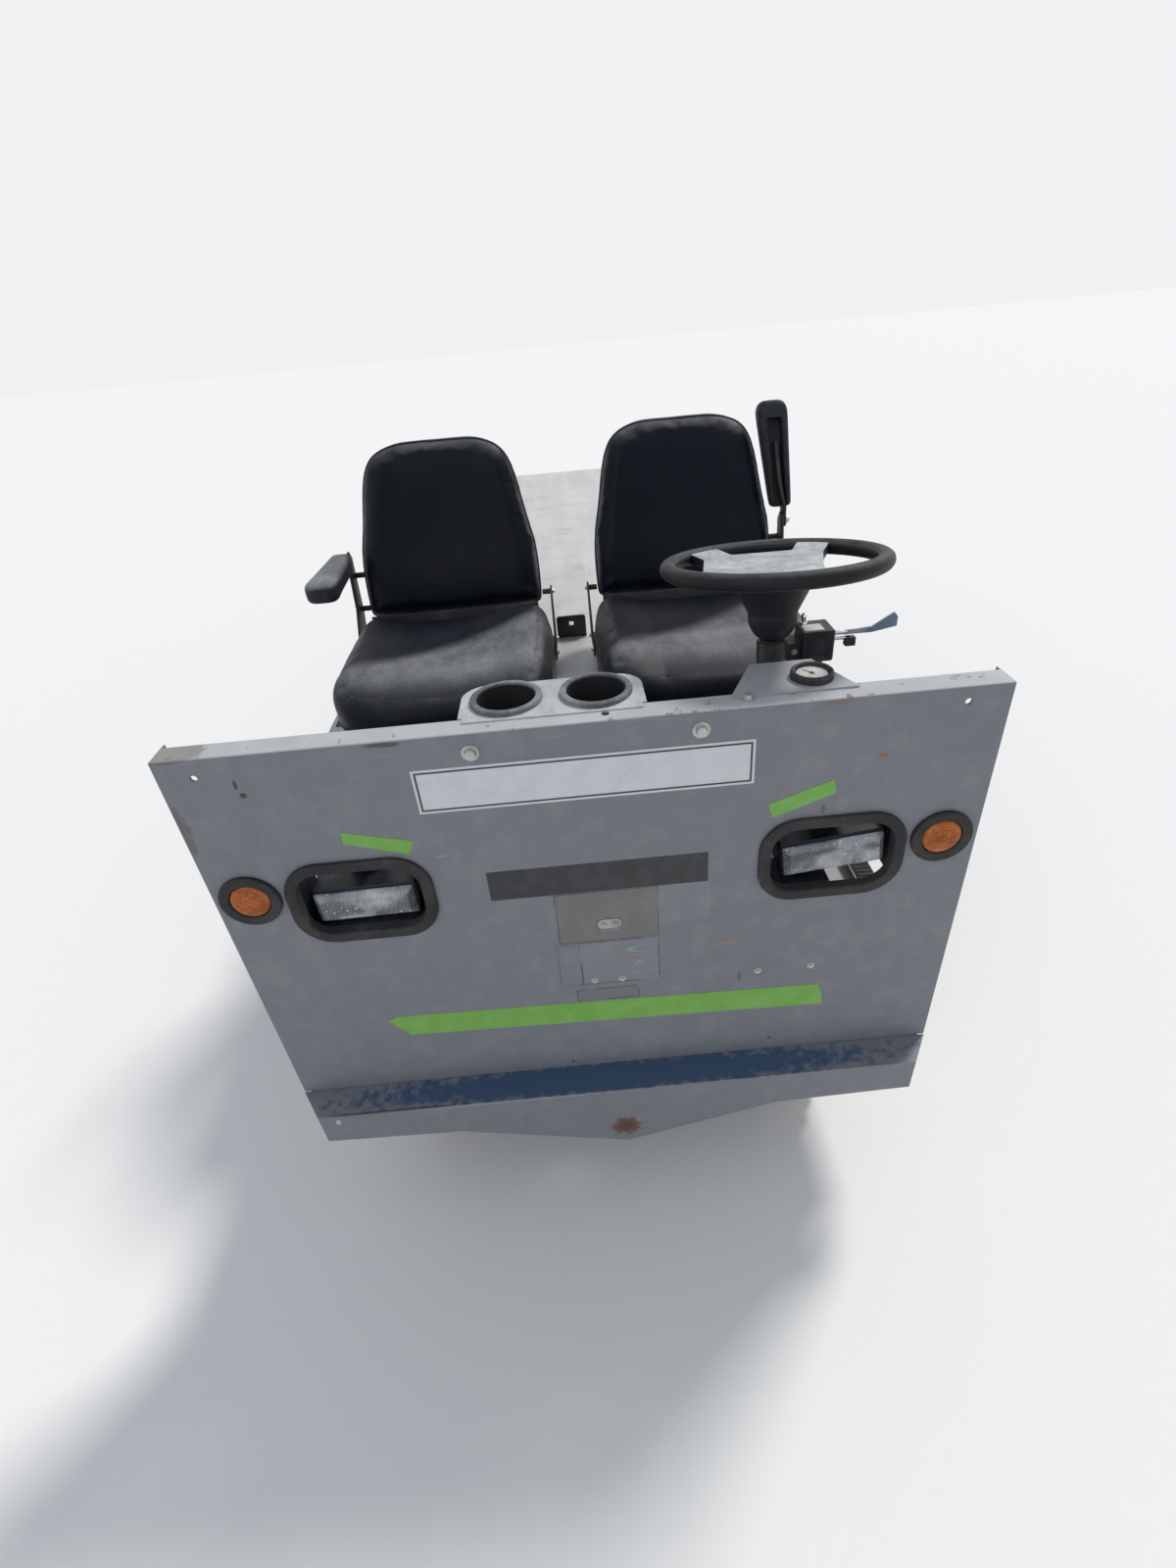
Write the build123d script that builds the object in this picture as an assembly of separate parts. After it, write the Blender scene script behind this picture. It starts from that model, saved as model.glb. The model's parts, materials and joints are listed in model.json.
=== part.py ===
from build123d import *
import math
import os

# Electric utility vehicle with two seats over the batteries and a flat cargo deck.
# Millimetres. X is the driver's left, Y runs rearward from the front panel's face, Z is up from the ground.
# "left" is the driver's side (+X) and "right" is the passenger's side (-X).

# Body
BODY_HALF_WIDTH = 595
SHEET = 3
PANEL_SHEET = 4
PANEL_TOP = 1110
PANEL_BOTTOM = 366
PANEL_TOP_FLANGE = 40
PANEL_SIDE_FLANGE = 50
PANEL_BEND_RADIUS = 3
BUMPER_REACH = 58
BUMPER_TAPER = 40
BUMPER_SEAT = 25
BUMPER_END_BOTTOM = 292
KEEL_KINK_X = 300
KEEL_KINK_Z = 282
KEEL_POINT_X = 15
KEEL_POINT_Z = 201
DECK_TOP = 790
DECK_SHEET = 6
DECK_END = 3430
DECK_SEAM = 2665
SEAM_GAP = 2
BOX_FRONT = 530
LID_HINGE_Y = 1075
FLOOR_TOP = 486
FLOOR_SHEET = 6
SILL_BOTTOM = 285
SILL_TOP = 510
SILL_FLANGE = 45
SKIRT_HIGH = 605
SKIRT_LOW = 500
SKIRT_STEP_Y = (1150, 1260)
ARCH_TOP = 575
SKIRT_FLANGE = 30

# Frame
RAIL_INNER_X = 190
RAIL_WIDTH = 50
RAIL_HEIGHT = 100
RAIL_SHEET = 5
RAIL_END = 3400
CROSS_DEPTH = 40
CROSS_HEIGHT = 80
BEARER_DEPTH = 50
BEARER_HEIGHT = 60

# Wheels and axles
TYRE_RADIUS = 230
TYRE_HALF_WIDTH = 60
BEAD_RADIUS = 104
BEAD_HALF_WIDTH = 44
RIM_RADIUS = 118
RIM_HALF_WIDTH = 53
RIM_BARREL_INNER = 96
FRONT_AXLE_Y = 300
REAR_AXLE_Y = 2450
FRONT_WHEEL_X = 430
REAR_WHEEL_X = 505
KINGPIN_X = 355
KINGPIN_RADIUS = 8
SPINDLE_RADIUS = 15
REAR_STUB_RADIUS = 20
RUNNING_GAP = 0.3
BEAM_RADIUS = 25
REAR_TUBE_RADIUS = 35
MOTOR_X = 5
MOTOR_Z = 245
MOTOR_RADIUS = 92
MOTOR_LENGTH = 300
MOTOR_FACE = 112
SPRING_X = 215
SPRING_WIDTH = 38
LEAF = 8
SPRING_PAD = 12
TIE_ROD_RADIUS = 11
TIE_ROD_Z = 235
ARM_LENGTH = 110
ARM_SHEET = 12
ARM_BOSS_RADIUS = 12
STUD_RADIUS = 7

# Steering
COLUMN_X = 320
WHEEL_CENTRE_Y = 250
WHEEL_CENTRE_Z = 1223
COLUMN_TILT = 8.6
STEERING_RING_RADIUS = 164
STEERING_TUBE_RADIUS = 13
# The pad about the wheel's centre as (x, y rearward): a wide web on the near side and two far arms.
WEB_RADIUS = 160
WEB_ANGLES = (-143, -111, -79)
PAD_LEFT_EDGE = ((-111, -10), (-102, 36), (-112, 112))
PAD_FAR_EDGE = ((-62, 147), (-53, 60), (44, 53), (78, 139))
PAD_RIGHT_EDGE = ((121, 104), (82, 15), (44, -103))
PAD_CORNER = 9
PAD_HALF_THICKNESS = 8
# The shroud's radius and height about the wheel's centre.
SHROUD_TOP = (74, -PAD_HALF_THICKNESS)
SHROUD_WAIST = (39, -77)
SHROUD_BELLY = (36, -99)
SHROUD_BOTTOM = (24, -116)
COLUMN_TUBE_RADIUS = 20
CLAMP_RADIUS = 25
SHAFT_RADIUS = 11
COLUMN_TUBE_TOP = 121
COLUMN_TUBE_END = 40
COLUMN_BRACKET_Z = (960, 1040)
COLUMN_BRACKET_DISTANCE = 180
JOINT_DISTANCE = 455
JOINT_BALL_RADIUS = 14
GEAR_X = 120
GEAR_INPUT = (130, 270, 452)

# Lamps
HEADLAMP_INSET = 227
HEADLAMP_X = BODY_HALF_WIDTH - HEADLAMP_INSET
HEADLAMP_Z = 832
BEZEL_SIZE = (229, 160)
BEZEL_CORNER = 60
BEZEL_LIP = 19
BEZEL_PROUD = 7
BEZEL_BACK = 6
# x and z of each lamp's glass and how far the lamp has turned about its own axis
HEADLAMP_PLACES = ((380, 818, -6), (-372, 806, -1))
GLASS_SIZE = (160, 56)
GLASS_BEVEL = 9
GLASS_FACE_Y = 11
GLASS_DEPTH = 13
HOUSING_SIZE = (168, 66)
HOUSING_DEPTH = 74
LAMP_STRAP_Z = (884, 908)
LAMP_STRAP_HALF = 135
MARKER_INSET = 58
MARKER_X = BODY_HALF_WIDTH - MARKER_INSET
MARKER_Z = 853
GROMMET_RADIUS = 47.5
GROMMET_GRIP = 7
MARKER_RADIUS = 31.5
REFLECTOR_SIZE = (150, 48)
REFLECTOR_PROUD = 3
REFLECTOR_EDGE = 6
TAIL_LAMP_X = BODY_HALF_WIDTH - 125
TAIL_LAMP_Z = 680
TAIL_LAMP_RADIUS = 48
TAIL_LAMP_RIM = 8

# Console behind the panel's top edge
CUP_CENTRES = ((-107, 86), (24, 86))
CUP_RADIUS = 43
CUP_RING_RADIUS = 52
CUP_FLOOR = 1040
CONSOLE_X = (-174, 93)
CONSOLE_BACK = 140
CONSOLE_TOP = 1112
DASH_FRONT_X = (208, 388)
DASH_BACK_X = (257, 350)
DASH_BACK_Y = 125
GAUGE_X = 333
GAUGE_Y = 66
GAUGE_RADIUS = 29

# Seats
SEAT_X = 300
SEAT_PAN_Z = 835
SEAT_PAN_SHEET = 4
RUNNER_OFFSET = 150
RUNNER_WIDTH = 40
CUSHION_HALF_WIDTH = 248
CUSHION_FRONT = 488
CUSHION_BACK = 970
CUSHION_HEIGHT = 110
CUSHION_FRONT_RADIUS = 105
CUSHION_BACK_RADIUS = 40
BACKREST_HALF_WIDTH = 230
BACKREST_SHOULDER = 206
BACKREST_EDGE = 24
BACKREST_HEIGHT = 440
BACKREST_THICKNESS = 92
BACKREST_LEAN = 13
BACKREST_FOOT_Y = 978
BACKREST_FOOT_Z = 918
BRACKET_SHEET = 5
BRACKET_OFFSET = 254
ARMREST_PIVOT_Y = 1030
ARMREST_PIVOT_Z = 1075
ARMREST_REACH = 276
ARMREST_START = 32
ARMREST_ROOT_WIDTH = 50
ARMREST_TIP_WIDTH = 78
ARMREST_THICKNESS = 50
ARMREST_DROP = 20
# Each armrest has bent its own way: how far its root and its tip lie outboard of the bracket.
ARMREST_BENDS = {1: (-4, -27), -1: (6, 3)}
ARMREST_CHANNEL = 28
ARM_PLATE = 8
ARMREST_RAISED = 104
PIVOT_RADIUS = 6

# Rear hitch
HITCH_REACH = 98
HITCH_END = RAIL_END + HITCH_REACH
HITCH_SHEET = 12
HITCH_GAP = 36
HITCH_Z = 430
HITCH_BORE_RADIUS = 11
HITCH_EYE_RADIUS = 32

# Cross members between the rails, from the bumper's seat to the hitch
CROSS_STATIONS = (40, BOX_FRONT + 30, 1700, REAR_AXLE_Y - 320, REAR_AXLE_Y + 350, RAIL_END - CROSS_DEPTH)

# The origin is on the ground, midway between the bumper's front and the hitch's rear.
MIDDLE_Y = (HITCH_END - BUMPER_REACH) / 2
MIN_ALIGN = (Align.CENTER, Align.CENTER, Align.MIN)


def block(x0, x1, y0, y1, z0, z1):
    """A box between two corners."""
    centre = Pos((x0 + x1) / 2, (y0 + y1) / 2, (z0 + z1) / 2)
    return centre * Box(x1 - x0, y1 - y0, z1 - z0)


def bar(start, end, radius, end_radius=None):
    """A round bar, or a taper, from one point to another."""
    run = Vector(*end) - Vector(*start)
    place = Plane(origin=start, z_dir=run)
    if end_radius is None or end_radius == radius:
        return place * Cylinder(radius, run.length, align=MIN_ALIGN)
    return place * Cone(radius, end_radius, run.length, align=MIN_ALIGN)


def side_cut(points, x0, x1):
    """A plate cut to an outline of (y, z) points, between two values of x."""
    face = Plane.YZ.offset(x0) * make_face(Polyline(*points, close=True))
    return extrude(face, x1 - x0)


def front_cut(points, y0, y1):
    """A plate cut to an outline of (x, z) points, between two values of y."""
    face = Plane.XZ.offset(-y0) * make_face(Polyline(*points, close=True))
    return extrude(face, y0 - y1)


def top_cut(points, z0, z1):
    """A plate cut to an outline of (x, y) points, between two values of z."""
    face = Plane.XY.offset(z0) * make_face(Polyline(*points, close=True))
    return extrude(face, z1 - z0)


def across(sketch, y0, y1):
    """A sketch drawn in (x, z), carried from one value of y to another."""
    return extrude(Plane.XZ.offset(-y0) * sketch, y0 - y1)


def pair(shape):
    """A piece and its mirror image on the other side."""
    return shape + mirror(shape, about=Plane.YZ)


def column_point(distance):
    """The point of the steering axis at a distance below the steering wheel's centre."""
    tilt = math.radians(COLUMN_TILT)
    y = WHEEL_CENTRE_Y - distance * math.sin(tilt)
    z = WHEEL_CENTRE_Z - distance * math.cos(tilt)
    return (COLUMN_X, y, z)


def front_panel():
    """The flat front panel, folded back on all four edges, with its lamp openings and punched holes."""
    half, t = BODY_HALF_WIDTH, PANEL_SHEET
    outer = block(-half, half, 0, PANEL_SIDE_FLANGE, PANEL_BOTTOM, PANEL_TOP)
    outer = fillet(outer.edges().filter_by(Axis.Z).group_by(Axis.Y)[0], PANEL_BEND_RADIUS)
    outer = fillet(outer.edges().filter_by(Axis.X).group_by(Axis.Y)[0], PANEL_BEND_RADIUS)
    tray = block(-half + t, half - t, t, PANEL_SIDE_FLANGE + t, PANEL_BOTTOM + t, PANEL_TOP - t)
    panel = outer - tray
    panel -= block(-half + t, half - t, PANEL_TOP_FLANGE, PANEL_SIDE_FLANGE + t, PANEL_TOP - 2 * t, PANEL_TOP + t)
    width, height = BEZEL_SIZE[0] - BEZEL_LIP, BEZEL_SIZE[1] - BEZEL_LIP
    window = RectangleRounded(width, height, BEZEL_CORNER - BEZEL_LIP / 2)
    for side in (-1, 1):
        panel -= across(Pos(side * HEADLAMP_X, HEADLAMP_Z) * window, -t, 2 * t)
        panel -= across(Pos(side * MARKER_X, MARKER_Z) * Circle(GROMMET_RADIUS - GROMMET_GRIP), -t, 2 * t)
    # x, z and radius of the holes punched in the face
    for x, z, radius in ((-542, 1079, 5), (533, 1086, 5), (296, 398, 4), (-77, 383, 3)):
        panel -= across(Pos(x, z) * Circle(radius), -t, 2 * t)
    panel -= Pos(33, 20, PANEL_TOP) * Cylinder(6, 4 * t)
    return panel


def front_bumper():
    """The folded bumper below the panel: a top step, mitred ends and a face that drops to a keel."""
    t = PANEL_SHEET

    def hull(inset, low, high):
        half = BODY_HALF_WIDTH - inset
        tip, front = half - BUMPER_TAPER, inset - BUMPER_REACH
        return top_cut(((-half, inset), (-tip, front), (tip, front), (half, inset)), low, high)

    shell = hull(0, KEEL_POINT_Z, PANEL_BOTTOM) - hull(t, KEEL_POINT_Z - t, PANEL_BOTTOM - t)
    half = BODY_HALF_WIDTH
    keel = (
        (-half, PANEL_BOTTOM), (-half, BUMPER_END_BOTTOM), (-KEEL_KINK_X, KEEL_KINK_Z),
        (KEEL_POINT_X, KEEL_POINT_Z), (KEEL_KINK_X, KEEL_KINK_Z), (half, BUMPER_END_BOTTOM), (half, PANEL_BOTTOM),
    )
    bumper = shell & front_cut(keel, -BUMPER_REACH, 0)
    seat = half - 3 * t
    return bumper + block(-seat, seat, -t, BUMPER_SEAT, PANEL_BOTTOM - t, PANEL_BOTTOM)


def frame_rails():
    """Two channel rails, their webs inboard and their flanges turned out."""
    low, high = FLOOR_TOP - FLOOR_SHEET - RAIL_HEIGHT, FLOOR_TOP - FLOOR_SHEET
    rail = block(RAIL_INNER_X, RAIL_INNER_X + RAIL_WIDTH, PANEL_SHEET, RAIL_END, low, high)
    hollow = block(RAIL_INNER_X + RAIL_SHEET, RAIL_INNER_X + RAIL_WIDTH + 1, 0, RAIL_END + 1, low + RAIL_SHEET, high - RAIL_SHEET)
    return pair(rail - hollow)


def cross_members():
    """Channels between the rails' webs, open to the rear."""
    low = FLOOR_TOP - FLOOR_SHEET - RAIL_HEIGHT + 10
    members = []
    for y in CROSS_STATIONS:
        member = block(-RAIL_INNER_X, RAIL_INNER_X, y, y + CROSS_DEPTH, low, low + CROSS_HEIGHT)
        member -= block(
            -RAIL_INNER_X, RAIL_INNER_X, y + RAIL_SHEET, y + CROSS_DEPTH + 1,
            low + RAIL_SHEET, low + CROSS_HEIGHT - RAIL_SHEET,
        )
        members.append(member)
    return sum(members[1:], members[0])


def floor_plate():
    """The footwell floor, with the hole for the steering shaft."""
    inner = BODY_HALF_WIDTH - SHEET
    plate = block(-inner, inner, PANEL_SIDE_FLANGE, BOX_FRONT, FLOOR_TOP - FLOOR_SHEET, FLOOR_TOP)
    plate += block(-RAIL_INNER_X - RAIL_WIDTH, RAIL_INNER_X + RAIL_WIDTH, PANEL_SHEET, PANEL_SIDE_FLANGE,
                   FLOOR_TOP - FLOOR_SHEET, FLOOR_TOP)
    crossing = shaft_point_at(FLOOR_TOP)
    return plate - Pos(crossing[0], crossing[1], FLOOR_TOP) * Cylinder(3 * SHAFT_RADIUS, 4 * FLOOR_SHEET)


def side_sills():
    """The low side plates beside the footwell, each with a flange turned in along its top."""
    half = BODY_HALF_WIDTH
    outline = ((PANEL_SIDE_FLANGE, SILL_BOTTOM), (560, SILL_BOTTOM), (819, SILL_TOP), (PANEL_SIDE_FLANGE, SILL_TOP))
    sill = side_cut(outline, half - SHEET, half)
    sill += block(half - SILL_FLANGE, half, PANEL_SIDE_FLANGE, BOX_FRONT, SILL_TOP - SHEET, SILL_TOP)
    return pair(sill)


def step_treads():
    """Grip plates on the sills' top flanges."""
    half = BODY_HALF_WIDTH
    tread = block(half - SILL_FLANGE + 5, half - 3, PANEL_SIDE_FLANGE + 60, BOX_FRONT - 60, SILL_TOP, SILL_TOP + SHEET)
    return pair(tread)


def box_front():
    """The front wall of the battery box under the seats, with a flange along its top."""
    inner = BODY_HALF_WIDTH - SHEET
    under_lid = DECK_TOP - DECK_SHEET
    wall = block(-inner, inner, BOX_FRONT, BOX_FRONT + SHEET, FLOOR_TOP - FLOOR_SHEET, under_lid)
    flange_end = inner - SKIRT_FLANGE
    return wall + block(-flange_end, flange_end, BOX_FRONT, BOX_FRONT + SKIRT_FLANGE, under_lid - SHEET, under_lid)


def battery_pack():
    """Eight batteries strapped together as one block on the rails."""
    return block(-520, 520, 600, 600 + 2 * 181, FLOOR_TOP - FLOOR_SHEET, FLOOR_TOP - FLOOR_SHEET + 276)


def side_skirts():
    """The deck's side panels: post at the battery box, shallow run, deep run, wheel arch and cut rear corner."""
    half, high = BODY_HALF_WIDTH, DECK_TOP - DECK_SHEET
    arch = REAR_AXLE_Y
    outline = (
        (BOX_FRONT, high), (BOX_FRONT, SILL_TOP), (BOX_FRONT + 70, SILL_TOP), (BOX_FRONT + 170, SKIRT_HIGH),
        (SKIRT_STEP_Y[0], SKIRT_HIGH), (SKIRT_STEP_Y[1], SKIRT_LOW),
        (arch - 300, SKIRT_LOW), (arch - 225, ARCH_TOP), (arch + 225, ARCH_TOP), (arch + 300, SKIRT_LOW),
        (DECK_END - 90, SKIRT_LOW), (DECK_END, SKIRT_LOW + 70), (DECK_END, high),
    )
    skirt = side_cut(outline, half - SHEET, half)
    skirt += block(half - SHEET - SKIRT_FLANGE, half, BOX_FRONT + SHEET, DECK_END - SHEET, high - SHEET, high)
    return pair(skirt)


def cargo_deck():
    """The flat load deck, in two plates that meet at a seam."""
    half = BODY_HALF_WIDTH
    low = DECK_TOP - DECK_SHEET
    front = block(-half, half, LID_HINGE_Y + SEAM_GAP, DECK_SEAM - SEAM_GAP / 2, low, DECK_TOP)
    rear = block(-half, half, DECK_SEAM + SEAM_GAP / 2, DECK_END, low, DECK_TOP)
    return front + rear


BEARER_STATIONS = (1100, 1620, 2140, DECK_SEAM - BEARER_DEPTH / 2, 3340)


def deck_bearers():
    """Channels across the vehicle under the deck, open to the rear."""
    end = BODY_HALF_WIDTH - SHEET - SKIRT_FLANGE
    high = DECK_TOP - DECK_SHEET
    bearers = []
    for y in BEARER_STATIONS:
        bearer = block(-end, end, y, y + BEARER_DEPTH, high - BEARER_HEIGHT, high)
        bearer -= block(-end - 1, end + 1, y + RAIL_SHEET, y + BEARER_DEPTH + 1, high - BEARER_HEIGHT + RAIL_SHEET, high - RAIL_SHEET)
        bearers.append(bearer)
    return sum(bearers[1:], bearers[0])


def bearer_posts():
    """Short posts that carry each bearer on the rails."""
    low, high = FLOOR_TOP - FLOOR_SHEET, DECK_TOP - DECK_SHEET - BEARER_HEIGHT
    posts = [
        pair(block(RAIL_INNER_X, RAIL_INNER_X + RAIL_WIDTH, y, y + BEARER_DEPTH, low, high))
        for y in BEARER_STATIONS
    ]
    return sum(posts[1:], posts[0])


def rear_apron():
    """The rear wall below the deck's end, with its tail lamp holes."""
    inner = BODY_HALF_WIDTH - SHEET
    wall = block(-inner, inner, DECK_END - SHEET, DECK_END, SKIRT_LOW + 70, DECK_TOP - DECK_SHEET)
    for side in (-1, 1):
        wall -= across(Pos(side * TAIL_LAMP_X, TAIL_LAMP_Z) * Circle(TAIL_LAMP_RADIUS - TAIL_LAMP_RIM), DECK_END - 2 * SHEET, DECK_END + SHEET)
    return wall


def leaf_spring(axle_y, half_length, pad_bottom):
    """One leaf pack with its eyes, hangers and axle pad, on the left side."""
    low = FLOOR_TOP - FLOOR_SHEET - RAIL_HEIGHT
    x0, x1 = SPRING_X - SPRING_WIDTH / 2, SPRING_X + SPRING_WIDTH / 2
    base = pad_bottom + SPRING_PAD
    eye_radius, eye_z = 14, low - 26
    rise = eye_z - base - 3.5 * LEAF
    radius = (half_length ** 2 + rise ** 2) / (2 * rise) + LEAF / 2
    pieces = []
    for number in range(4):
        reach = half_length * (1 - 0.22 * number)
        outer = radius + number * LEAF
        ring = Circle(outer) - Circle(outer - LEAF)
        window = Pos(0, -radius) * Rectangle(2 * reach, 2 * radius)
        leaf = Plane.YZ.offset(x0) * Pos(axle_y, base + 3 * LEAF + radius) * (ring & window)
        pieces.append(extrude(leaf, x1 - x0))
    pack = sum(pieces[1:], pieces[0])
    pack += block(x0 - 6, x1 + 6, axle_y - 45, axle_y + 45, pad_bottom, base + 4)
    for end in (-1, 1):
        y = axle_y + end * half_length
        pack += bar((x0 - 6, y, eye_z), (x1 + 6, y, eye_z), eye_radius)
        for ear in (x0 - 6, x1):
            pack += block(ear, ear + 6, y - 22, y + 22, eye_z, low)
    return pack


def front_springs():
    """Leaf springs over the front axle beam."""
    return pair(leaf_spring(FRONT_AXLE_Y, 215, TYRE_RADIUS + BEAM_RADIUS))


def rear_springs():
    """Leaf springs over the rear axle tubes."""
    return pair(leaf_spring(REAR_AXLE_Y, 330, TYRE_RADIUS + REAR_TUBE_RADIUS))


def front_axle():
    """The beam between the kingpins, with an eye at each end and a flat seat under each spring."""
    y, z = FRONT_AXLE_Y, TYRE_RADIUS
    beam = bar((-KINGPIN_X + 15, y, z), (KINGPIN_X - 15, y, z), BEAM_RADIUS)
    for side in (-1, 1):
        beam += Pos(side * KINGPIN_X, y, z) * Cylinder(20, 40)
        beam += block(side * SPRING_X - 25, side * SPRING_X + 25, y - 45, y + 45, z + 12, z + BEAM_RADIUS)
    for side in (-1, 1):
        beam -= Pos(side * KINGPIN_X, y, z) * Cylinder(KINGPIN_RADIUS + RUNNING_GAP, 100)
        beam -= block(side * (KINGPIN_X - 24) - 26, side * (KINGPIN_X - 24) + 26, y - 40, y + 40, z + 20, z + 60)
        beam -= block(side * (KINGPIN_X - 24) - 26, side * (KINGPIN_X - 24) + 26, y - 40, y + 40, z - 60, z - 20)
    return beam


def crank(x, y, low, root):
    """A steering arm that reaches rearward from an axis, with the stud for the tie rod under its end."""
    tip, boss = y + ARM_LENGTH, ARM_BOSS_RADIUS
    arm = top_cut(((x - root, y - 4), (x + root, y - 4), (x + boss - 3, tip), (x - boss + 3, tip)), low, low + ARM_SHEET)
    arm += Pos(x, tip, low) * Cylinder(boss, ARM_SHEET, align=MIN_ALIGN)
    return arm + bar((x, tip, TIE_ROD_Z - TIE_ROD_RADIUS), (x, tip, low + 1), STUD_RADIUS)


def knuckle():
    """The left steering knuckle: two lugs round the axle's eye, kingpin, wheel spindle and steering arm."""
    x, y, z = KINGPIN_X, FRONT_AXLE_Y, TYRE_RADIUS
    upper = Pos(x, y, z + 30.5) * Cylinder(22, 20)
    lower = Pos(x, y, z - 30.5) * Cylinder(22, 20)
    body = upper + lower + Pos(x, y, z) * Cylinder(KINGPIN_RADIUS, 80)
    body += block(x + 21, x + 34, y - 26, y + 26, z - 42, z + 42)
    body += block(x, x + 24, y - 20, y + 20, z + 20.5, z + 40.5)
    body += block(x, x + 24, y - 20, y + 20, z - 40.5, z - 20.5)
    body += bar((x + 30, y, z), (FRONT_WHEEL_X + 34, y, z), SPINDLE_RADIUS)
    return body + crank(x, y, z + 28, 14)


def tie_rod():
    """The rod across the vehicle that joins both steering arms and the pitman arm."""
    y = FRONT_AXLE_Y + ARM_LENGTH
    rod = bar((-KINGPIN_X, y, TIE_ROD_Z), (KINGPIN_X, y, TIE_ROD_Z), TIE_ROD_RADIUS - 1)
    for x in (-KINGPIN_X, GEAR_X, KINGPIN_X):
        rod += Pos(x, y, TIE_ROD_Z) * Cylinder(ARM_BOSS_RADIUS, 2 * TIE_ROD_RADIUS)
    for x in (-KINGPIN_X, GEAR_X, KINGPIN_X):
        rod -= Pos(x, y, TIE_ROD_Z) * Cylinder(STUD_RADIUS + RUNNING_GAP, 4 * TIE_ROD_RADIUS)
    return rod


def wheel_disc(bore_radius):
    """A pressed rim with its flanges, dished disc and hub boss; +Z is its outer side."""
    w, barrel, seat = RIM_HALF_WIDTH, RIM_BARREL_INNER, BEAD_RADIUS
    profile = (
        (barrel, -w), (RIM_RADIUS, -w), (RIM_RADIUS, -w + 4), (seat, -BEAD_HALF_WIDTH - 2), (seat, BEAD_HALF_WIDTH + 2),
        (RIM_RADIUS, w - 4), (RIM_RADIUS, w), (barrel, w), (barrel, 24), (82, 14), (56, 8), (46, 8),
        (40, 30), (bore_radius, 30), (bore_radius, -14), (44, -14), (50, 1), (80, 6), (barrel, 15),
    )
    face = Plane.XZ * make_face(Polyline(*profile, close=True))
    return revolve(face, Axis.Z)


def tyre_ring():
    """A solid tyre of the outer size over its tread, round the rim's seat; +Z is its outer side."""
    w, bead = TYRE_HALF_WIDTH, BEAD_HALF_WIDTH
    shoulder, edge = TYRE_RADIUS - 14, TYRE_RADIUS - 4
    wall = (RIM_RADIUS + 2, bead + 1)
    lines = [
        Line((BEAD_RADIUS, bead), (BEAD_RADIUS, -bead)),
        Line((BEAD_RADIUS, -bead), (wall[0], -wall[1])),
        ThreePointArc((wall[0], -wall[1]), (165, -w), (shoulder, -w + 7)),
        Line((shoulder, -w + 7), (edge, -w + 20)),
        ThreePointArc((edge, -w + 20), (TYRE_RADIUS, 0), (edge, w - 20)),
        Line((edge, w - 20), (shoulder, w - 7)),
        ThreePointArc((shoulder, w - 7), (165, w), wall),
        Line(wall, (BEAD_RADIUS, bead)),
    ]
    return revolve(Plane.XZ * make_face(lines), Axis.Z)


def rear_axle():
    """The live rear axle: tubes, differential housing, spring seats, brake drums and wheel stubs."""
    y, z = REAR_AXLE_Y, TYRE_RADIUS
    drum = REAR_WHEEL_X - 14
    axle = bar((-drum + 10, y, z), (drum - 10, y, z), REAR_TUBE_RADIUS)
    for side in (-1, 1):
        axle += bar((side * (drum - 44), y, z), (side * (drum - 0.5), y, z), 88)
        axle += bar((side * (drum - 10), y, z), (side * (REAR_WHEEL_X + 34), y, z), REAR_STUB_RADIUS)
        axle += block(side * SPRING_X - 25, side * SPRING_X + 25, y - 45, y + 45, z + 15, z + REAR_TUBE_RADIUS)
    for start, end, r0, r1 in ((-110, -40, 40, 105), (-40, 50, 105, 105), (50, 120, 105, 40)):
        axle += bar((start, y, z), (end, y, z), r0, r1)
    return axle + bar((MOTOR_X, y - MOTOR_FACE, MOTOR_Z), (MOTOR_X, y - 40, MOTOR_Z), MOTOR_RADIUS - 12)


def drive_motor():
    """The electric motor, ahead of the axle and bolted to its housing."""
    y = REAR_AXLE_Y - MOTOR_FACE
    return bar((MOTOR_X, y, MOTOR_Z), (MOTOR_X, y - MOTOR_LENGTH, MOTOR_Z), MOTOR_RADIUS)


def shaft_point_at(z):
    """The point of the lower steering shaft's axis at a height."""
    top, low = column_point(JOINT_DISTANCE), GEAR_INPUT
    share = (z - low[2]) / (top[2] - low[2])
    return tuple(low[i] + share * (top[i] - low[i]) for i in range(3))


def steering_gear():
    """The gear housing on the rail's web, with a boss for the shaft above and the sector shaft's boss below."""
    x, y = GEAR_X, FRONT_AXLE_Y
    housing = block(x - 55, RAIL_INNER_X, y - 60, y + 60, 300, 430)
    housing = fillet(housing.edges().filter_by(Axis.Z).group_by(Axis.X)[0], 20)
    axis = Vector(*column_point(JOINT_DISTANCE)) - Vector(*GEAR_INPUT)
    axis = axis.normalized()
    start = Vector(*GEAR_INPUT) - axis * 60
    boss_end = Vector(*GEAR_INPUT) - axis * 0.5
    housing += bar(tuple(start), tuple(boss_end), 20)
    return housing + bar((x, y, 280), (x, y, 302), 20)


def pitman_arm():
    """The arm on the sector shaft, parallel to the steering arms."""
    x, y, low = GEAR_X, FRONT_AXLE_Y, 280 - 1 - ARM_SHEET
    return crank(x, y, low, 14) + Pos(x, y, low) * Cylinder(18, ARM_SHEET, align=MIN_ALIGN)


def lower_shaft():
    """The shaft from the column's universal joint down to the gear."""
    top, low = column_point(JOINT_DISTANCE), GEAR_INPUT
    shaft = bar(low, top, SHAFT_RADIUS - 1)
    shaft += bar(low, shaft_point_at(low[2] + 20), 16)
    return shaft + Pos(*top) * Sphere(JOINT_BALL_RADIUS)


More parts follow.
